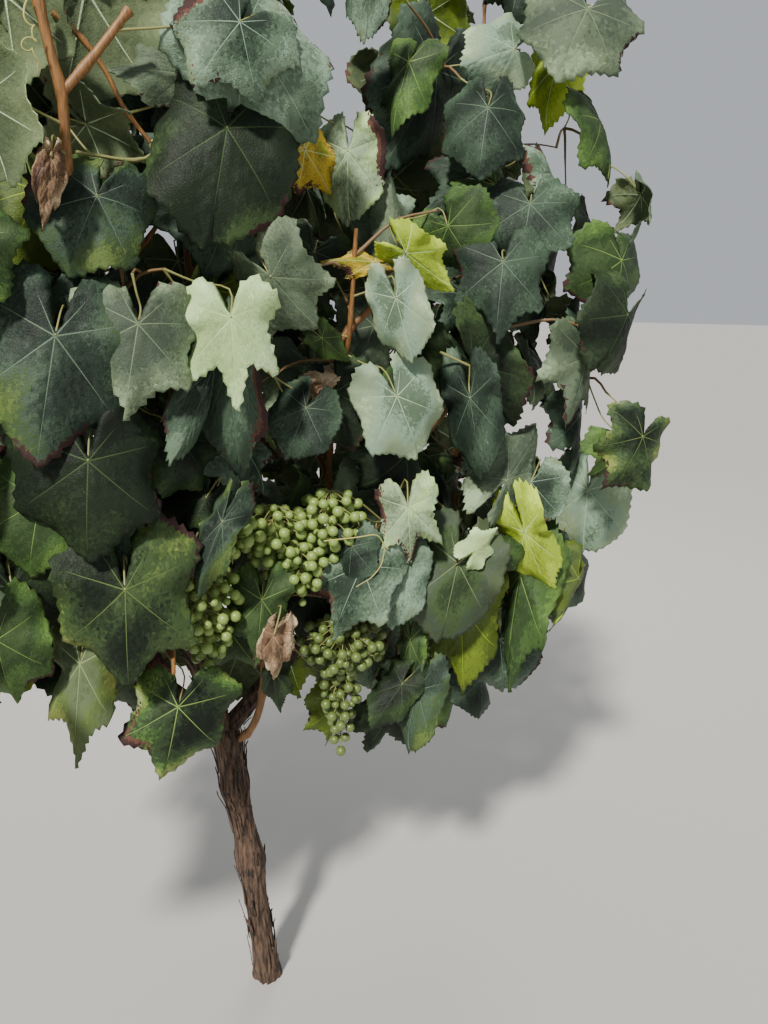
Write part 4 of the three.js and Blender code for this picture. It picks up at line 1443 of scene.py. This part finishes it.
def leaf_tones(pattern, leaf, number, sides):
    """The skin of each face of a leaf's upper side, underside and edge."""
    ramp, rib, below, scorched = PALETTES[leaf["palette"]]
    ramp = np.array([number[name] for name in stepped(ramp)])
    draw = np.random.default_rng(leaf["seed"] + 3)
    f, a = pattern["middle"][:, 0], pattern["middle"][:, 1]
    p = draw.random(8) * FULL_TURN
    turn, edge = np.arctan2(a, f), pattern["face_edge"]
    cloud = np.sin(4.1 * f + 3 * a + p[0]) + np.sin(3.9 * a - 2.2 * f + p[1])
    cloud = cloud + 0.7 * np.sin(9 * f + 7 * a + p[2])
    # Painted shade: faces in the hollows by the stalk and beside the ribs take darker tones, faces towards
    # the dusty margin paler ones
    rib_hollow_shade = np.clip(pattern["face_gap"] / 0.08, 0, 1) - 0.5
    tone = 0.3 + 0.1 * leaf["dust"] + 0.3 * smooth(edge, 0.3, 1.05) + 0.16 * cloud + 0.14 * rib_hollow_shade
    tone = tone + draw.normal(0, 0.06, len(f))
    top = ramp[np.clip((tone * len(ramp)).astype(int), 0, len(ramp) - 1)]
    burnt = np.sin(turn + p[5]) + 0.5 * np.sin(3 * turn + p[6]) + draw.normal(0, 0.16, len(f))
    ends = 0.97 - 0.22 * scorched * smooth(burnt, 0.3, 1.3)
    brown = (edge > ends) & (burnt > 1.2 - 1.1 * scorched) & (scorched > 0)
    dry, drying, dry_below = SCORCHED["straw" if below == "straw" else "green"]
    top[brown] = number[dry]
    fading = ~brown & (edge > ends - 0.09) & (burnt > 1.2 - 1.1 * scorched) & (scorched > 0.2)
    top[fading] = number[drying]
    top[pattern["ribbed"]] = number[rib]
    under, under_rib = UNDERSIDES[below]
    under = np.array([number[name] for name in stepped(under)])
    bottom = under[np.clip((tone * len(under)).astype(int), 0, len(under) - 1)]
    bottom[brown | fading] = number[dry_below]
    bottom[pattern["ribbed"]] = number[under_rib]
    return top, bottom, np.full(sides, ramp[len(ramp) // 2])


def leaf_shell(pattern, leaf, number, thick):
    """One leaf as a thin closed shell, with ribs that stand out underneath."""
    top = bent(pattern, leaf)
    faces, rim = pattern["faces"], pattern["rim"]
    a, b, c = (top[faces[:, k]] for k in range(3))
    normal = np.cross(b - a, c - a)
    at = np.zeros_like(top)
    for k in range(3):
        np.add.at(at, faces[:, k], normal)
    at /= np.linalg.norm(at, axis=1, keepdims=True) + 1e-12
    ribs = np.exp(-((pattern["gap"] / 0.012) ** 2)) * (1 - 0.7 * np.clip(pattern["edge"], 0, 1))
    bottom = top - at * (thick + 0.9 * ribs)[:, None]
    n = len(top)
    first, second = rim[:, 0], rim[:, 1]
    sides = [np.stack([second, first, first + n], 1), np.stack([second, first + n, second + n], 1)]
    sides = np.vstack(sides)
    up, down, edge = leaf_tones(pattern, leaf, number, len(sides))
    places = np.vstack([top, bottom])
    joined = np.vstack([faces, faces[:, ::-1] + n, sides])
    flat = np.concatenate([np.zeros(2 * len(faces), bool), np.ones(len(sides), bool)])
    return places, joined, np.concatenate([up, down, edge]), flat


# How closely a leaf's points stand, as a share of its length: told apart, before this depth, behind it
FINEST, FINE, COARSE = 0.044, 0.062, 0.1
FINE_BEFORE = 40
PATTERN_SEEDS = {kind: (11 + 3 * i, 12 + 3 * i) for i, kind in enumerate(LOBES)}


class GrapevineSizes(bpy.types.PropertyGroup):
    """Sizes that a user would change."""

    leaves_a_mass: IntProperty(
        name="Leaves a mass", description="How many leaves each mass carries", default=19, min=4, max=26
    )
    leaf_width: FloatProperty(
        name="Leaf width",
        description="Width of a full-grown leaf",
        default=0.128,
        min=0.06,
        max=0.18,
        unit="LENGTH",
        subtype="DISTANCE",
    )
    leaf_thickness: FloatProperty(
        name="Leaf thickness",
        description="Thickness of a leaf's blade",
        default=0.0009,
        min=0.0003,
        max=0.003,
        unit="LENGTH",
        subtype="DISTANCE",
    )
    berry: FloatProperty(
        name="Berry",
        description="Diameter of a full unripe berry",
        default=0.014,
        min=0.006,
        max=0.024,
        unit="LENGTH",
        subtype="DISTANCE",
    )


class GrapevineColours(bpy.types.PropertyGroup):
    """Colours that a user would change."""

    bark: FloatVectorProperty(
        name="Bark",
        description="Old bark",
        default=linear(COLOURS["bark"]),
        subtype="COLOR",
        min=0,
        max=1,
    )
    cane: FloatVectorProperty(
        name="Canes",
        description="The year's canes",
        default=linear(COLOURS["cane"]),
        subtype="COLOR",
        min=0,
        max=1,
    )
    berry: FloatVectorProperty(
        name="Berries",
        description="Unripe berries",
        default=linear(COLOURS["berry"]),
        subtype="COLOR",
        min=0,
        max=1,
    )
    dark_leaf: FloatVectorProperty(
        name="Dark leaf",
        description="Shaded green leaves",
        default=linear(COLOURS["dark_1"]),
        subtype="COLOR",
        min=0,
        max=1,
    )
    teal_leaf: FloatVectorProperty(
        name="Blue-green leaf",
        description="Full-grown leaves in the open",
        default=linear(COLOURS["teal_1"]),
        subtype="COLOR",
        min=0,
        max=1,
    )
    # Pale with dust and with a painted bluish sky reflection
    dusty_leaf: FloatVectorProperty(
        name="Dusty leaf",
        description="Leaves that are pale with dust",
        default=linear(COLOURS["grey_1"]),
        subtype="COLOR",
        min=0,
        max=1,
    )


# How finely old wood is drawn, and the strips of bark on it: how many, and their least size and spread
TRUNK_BARK = {"around": 84, "step": 2.8, "shreds": 46, "length": (24, 60), "width": (3, 5)}
ARM_BARK = {"around": 44, "step": 4.0, "shreds": 22, "length": (16, 30), "width": (2, 3)}
BARK_LIGHT, BARK_DARK, CANE_DARK = 2.1, 0.1, 0.45


def shaded(colour, share):
    return tuple(part * share for part in colour)


def trunk_radius(along):
    height = mix(-TRUNK["sunk"], TRUNK["head"], along)
    flare = TRUNK["flare"] * np.exp(-np.maximum(0, height) / TRUNK["flare_height"])
    knots = sum(swell * np.exp(-(((height - at) / reach) ** 2)) for at, swell, reach in KNOTS)
    head = TRUNK["head_swell"] * np.maximum(0, along - 0.8) * 5
    dome = np.sqrt(np.maximum(0.12, 1 - np.maximum(0, (along - 0.93) / 0.07) ** 2))
    return (TRUNK["waist"] + flare + head + knots) * dome


class GRAPEVINE_OT_bark(bpy.types.Operator):
    """Trunk and arms of old wood, with strips of bark that peel away."""

    bl_idname = "grapevine.bark"
    bl_label = "Trunk and arms"

    def execute(self, context):
        tint = context.scene.grapevine_colours.bark
        light, dark = shaded(tint, BARK_LIGHT), shaded(tint, BARK_DARK)
        skin = streaked_skin("old_bark", light, dark, (230, 230, 24), 0.88, 0.003)
        trunk = Way(TRUNK_WAY)
        limbs = {"trunk": (trunk, TRUNK["sunk"] / trunk.length, trunk_radius, True)}
        for name, points in ARM_WAYS.items():
            limbs[f"arm_{name}"] = (Way(points), 0.0, lambda s: mix(*ARM, s), False)
        draw = seeded(SHRED_SEED)
        for k, (name, (way, begin, radius_at, foot)) in enumerate(limbs.items()):
            bark = TRUNK_BARK if foot else ARM_BARK
            step = bark["step"]
            *limb, frame_of = bark_tube(way, begin, radius_at, 40 + 7 * k, bark["around"], step, foot)
            parts = [limb]
            for _ in range(bark["shreds"]):
                at = int(draw() * (len(frame_of[0]) - 14))
                turn = draw() * FULL_TURN
                length = bark["length"][0] + bark["length"][1] * draw()
                width = bark["width"][0] + bark["width"][1] * draw()
                lift = 2 + 7 * draw() ** 2
                parts.append(bark_shred(frame_of, at, turn, length, width, lift, step, draw))
            places, faces = join_parts(parts)
            if foot:
                places[:, 2] = np.maximum(places[:, 2], 0)
            piece = piece_of(f"bark_{name}", places, faces, [skin], np.zeros(len(faces)))
            outward_faces(piece)
            belongs(piece, [name])
        return {"FINISHED"}


class GRAPEVINE_OT_canes(bpy.types.Operator):
    """The year's canes, from the arms to the tips, thicker at each joint."""

    bl_idname = "grapevine.canes"
    bl_label = "Canes"

    def execute(self, context):
        light = tuple(context.scene.grapevine_colours.cane)
        skin = streaked_skin("cane_skin", light, shaded(light, CANE_DARK), (480, 480, 40), 0.5, 0.0005)
        nodes = [n for n in NODES if n.startswith("cane_")]
        tubes("canes", growth().canes, 10, skin, nodes)
        return {"FINISHED"}


class GRAPEVINE_OT_twigs(bpy.types.Operator):
    """Side twigs, leaf stalks and tendrils."""

    bl_idname = "grapevine.twigs"
    bl_label = "Twigs, stalks and tendrils"

    def execute(self, context):
        nodes = [n for n in NODES if n.startswith("leaves_")]
        vine = growth()
        for name, strands, sides, slot, tint, roughness, depth in (
            ("twigs", vine.twigs, 7, "cane", "twig", 0.6, 0.0004),
            ("leaf_stalks", vine.stalks, 6, "leaf", "stalk", 0.5, 0.0003),
            ("tendrils", vine.tendrils, 6, "leaf", "tendril", 0.5, 0.0002),
        ):
            skin = plain_skin(f"{tint}_skin", linear(COLOURS[tint]), roughness, 300, depth)
            tubes(name, strands, sides, skin, nodes)
        return {"FINISHED"}


class GRAPEVINE_OT_leaves(bpy.types.Operator):
    """All leaves, each its own shape of a few outlines, joined by storey and side."""

    bl_idname = "grapevine.leaves"
    bl_label = "Leaves"

    def execute(self, context):
        vine = growth()
        skins = leaf_skins()
        number = {name: i for i, name in enumerate(skins)}
        patterns = {
            (kind, spacing): [leaf_pattern(kind, seed, spacing) for seed in seeds]
            for kind, seeds in PATTERN_SEEDS.items()
            for spacing in (FINEST, FINE, COARSE)
        }
        thick = context.scene.grapevine_sizes.leaf_thickness / MM
        groups = {}
        for leaf in vine.leaves:
            storey = leaf["mass"].split("_")[0]
            half = "left" if leaf["mass"].endswith("left") else "right"
            side = "" if storey == "top" else "_" + leaf["mass"].split("_")[1]
            groups.setdefault(f"{storey}{side}_{half}", []).append(leaf)
        for title, leaves in groups.items():
            shells = []
            for leaf in leaves:
                spacing = FINEST if leaf["told"] else FINE if leaf["place"][1] < FINE_BEFORE else COARSE
                pattern = patterns[leaf["kind"], spacing][leaf["seed"] % 2]
                shells.append(leaf_shell(pattern, leaf, number, thick))
            places, faces, tones, flat = join_parts(shells)
            piece = piece_of(f"foliage_{title}", places, faces, skins.values(), tones, flat)
            belongs(piece, sorted({f"leaves_{leaf['mass']}" for leaf in leaves}))
        return {"FINISHED"}


class GRAPEVINE_OT_bunches(bpy.types.Operator):
    """Bunches of unripe grapes on their branched stalks."""

    bl_idname = "grapevine.bunches"
    bl_label = "Bunches"

    def execute(self, context):
        sizes = context.scene.grapevine_sizes
        berry = sizes.berry / MM
        berries, stalks = {"berries": [], "berries_low": []}, []
        vine = growth()
        for k, (mass_name, top, length, width) in enumerate(BUNCHES):
            draw = seeded(BUNCH_SEED * (k + 2))
            top = np.array(top, float)
            mass = next(m for m in vine.masses if m["name"] == mass_name)
            foot = min(mass["joints"], key=lambda j: np.linalg.norm(j - top))
            hanging = [top - UP * 8, top - UP * 0.5 * length, top - UP * 0.93 * length]
            spine = Way([foot, mix(foot, top, 0.6) + UP * 6, *hanging])
            share = np.linspace(0, 1, 16)
            stalks.append((spine.at(share), mix(1.7, 0.8, share)))
            taken = []
            for _ in range(BERRY_TRIES):
                fall = draw()
                turn = draw() * 2 * math.pi
                deep = math.sqrt(draw())
                full = 0.5 * width * math.sin(math.pi * fall ** BUNCH_FORM[0]) ** BUNCH_FORM[1]
                wide = max(0.0, full - 0.2 * berry) * deep
                small = draw()
                size = 0.5 * berry * (SMALL_BERRY if small < SMALL_BERRIES else 0.9 + 0.14 * small)
                p = top + np.array((wide * math.cos(turn), wide * math.sin(turn), -fall * (length - berry)))
                p[2] -= 0.3 * berry
                if any(np.linalg.norm(p - q) < BERRY_ROOM * (size + s) for q, s in taken):
                    continue
                taken.append((p, size))
                base = top + np.array((0, 0, -max(0.03, fall - 0.1) * length))
                stalks.append((np.array([base, mix(base, p, 0.5) + UP * 2, p]), np.array([0.8, 0.6, 0.7])))
            berries["berries_low" if top[2] < LOW_BUNCH else "berries"] += taken
        nodes = [f"leaves_{name}" for name in dict.fromkeys(b[0] for b in BUNCHES)]
        tree = berry_tree()
        # The low bunches' berries wear a darker skin, a painted shade
        for title, shade_share in (("berries", 1.0), ("berries_low", LOW_BUNCH_SHADE)):
            colour = shaded(context.scene.grapevine_colours.berry, shade_share)
            skin = plain_skin(f"{title}_skin", colour, 0.38, 120, 0.0003, coat=0.15)
            shader = skin.node_tree.nodes["Principled BSDF"]
            shader.inputs["Subsurface Weight"].default_value = 0.25
            shader.inputs["Subsurface Radius"].default_value = (0.004, 0.005, 0.002)
            mesh = point_mesh(title, *zip(*berries[title]))
            belongs(modified(title, mesh, tree, {"Roundness": 2, "Skin": skin}), nodes)
        stalk = plain_skin("bunch_stalk_skin", linear(COLOURS["stalk"]), 0.5, 300, 0.0003)
        tubes("bunch_stalks", stalks, 5, stalk, nodes)
        return {"FINISHED"}


# The lamps: kind, place in metres, size, power and tint, and the height that they aim at
LAMPS = {
    "key": ("SUN", (-2.1, -1.9, 3.8), 0.1, 6.2, (1, 0.955, 0.875)),
    "back": ("AREA", (1.8, 1.9, 2.9), 1.6, 48, (1, 0.97, 0.9)),
}
AIM = Vector((0, 0, 0.9))
FLOOR = 40
FILM = 36


class GRAPEVINE_OT_stage(bpy.types.Operator):
    """A pale floor, soft studio light and the camera."""

    bl_idname = "grapevine.stage"
    bl_label = "Stage"

    def execute(self, context):
        scene = context.scene
        mesh = bpy.data.meshes.new("floor")
        corners = [(x * FLOOR, y * FLOOR, 0) for x, y in ((-1, -1), (1, -1), (1, 1), (-1, 1))]
        mesh.from_pydata(corners, [], [(0, 1, 2, 3)])
        floor = bpy.data.objects.new("floor", mesh)
        scene.collection.objects.link(floor)
        pale = bpy.data.materials.new("pale_floor")
        pale.use_nodes = True
        shader = pale.node_tree.nodes["Principled BSDF"]
        shader.inputs["Base Color"].default_value = (0.4, 0.392, 0.38, 1)
        shader.inputs["Roughness"].default_value = 0.9
        mesh.materials.append(pale)
        world = bpy.data.worlds.new("soft_sky")
        world.use_nodes = True
        sky = world.node_tree.nodes["Background"]
        sky.inputs["Color"].default_value = (0.85, 0.89, 0.94, 1)
        sky.inputs["Strength"].default_value = 0.56
        scene.world = world
        for name, (kind, place, size, power, tint) in LAMPS.items():
            light = bpy.data.lights.new(name, kind)
            setattr(light, "angle" if kind == "SUN" else "size", size)
            light.energy = power
            light.color = tint
            lamp = bpy.data.objects.new(name, light)
            lamp.location = place
            lamp.rotation_euler = (AIM - Vector(place)).to_track_quat("-Z", "Y").to_euler()
            scene.collection.objects.link(lamp)
        lens = bpy.data.cameras.new("eye")
        lens.sensor_width = FILM
        lens.sensor_fit = "AUTO"
        lens.lens = FILM * LENS / PICTURE[1]
        lens.clip_start = 0.02
        eye = bpy.data.objects.new("eye", lens)
        eye.location = EYE * MM
        eye.rotation_euler = (math.pi / 2 - PITCH, 0, -HEADING)
        scene.collection.objects.link(eye)
        scene.camera = eye
        return {"FINISHED"}


class GRAPEVINE_PT_panel(bpy.types.Panel):
    """Lists the steps that build the grapevine."""

    bl_idname = "GRAPEVINE_PT_panel"
    bl_label = "Grapevine"
    bl_space_type = "VIEW_3D"
    bl_region_type = "UI"
    bl_category = "Grapevine"

    def draw(self, context):
        for group in (context.scene.grapevine_sizes, context.scene.grapevine_colours):
            for name in group.__annotations__:
                self.layout.prop(group, name)
        for step in STEPS:
            self.layout.operator(step.bl_idname)


STEPS = (
    GRAPEVINE_OT_stage,
    GRAPEVINE_OT_bark,
    GRAPEVINE_OT_canes,
    GRAPEVINE_OT_twigs,
    GRAPEVINE_OT_leaves,
    GRAPEVINE_OT_bunches,
)
CLASSES = (GrapevineSizes, GrapevineColours, *STEPS, GRAPEVINE_PT_panel)


def register():
    for each in CLASSES:
        bpy.utils.register_class(each)
    bpy.types.Scene.grapevine_sizes = PointerProperty(type=GrapevineSizes)
    bpy.types.Scene.grapevine_colours = PointerProperty(type=GrapevineColours)


def unregister():
    del bpy.types.Scene.grapevine_colours
    del bpy.types.Scene.grapevine_sizes
    for each in reversed(CLASSES):
        bpy.utils.unregister_class(each)


def main():
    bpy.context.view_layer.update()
    register()
    bpy.ops.grapevine.stage()
    bpy.ops.grapevine.bark()
    bpy.ops.grapevine.canes()
    bpy.ops.grapevine.twigs()
    bpy.ops.grapevine.leaves()
    bpy.ops.grapevine.bunches()


if __name__ == "__main__":
    main()
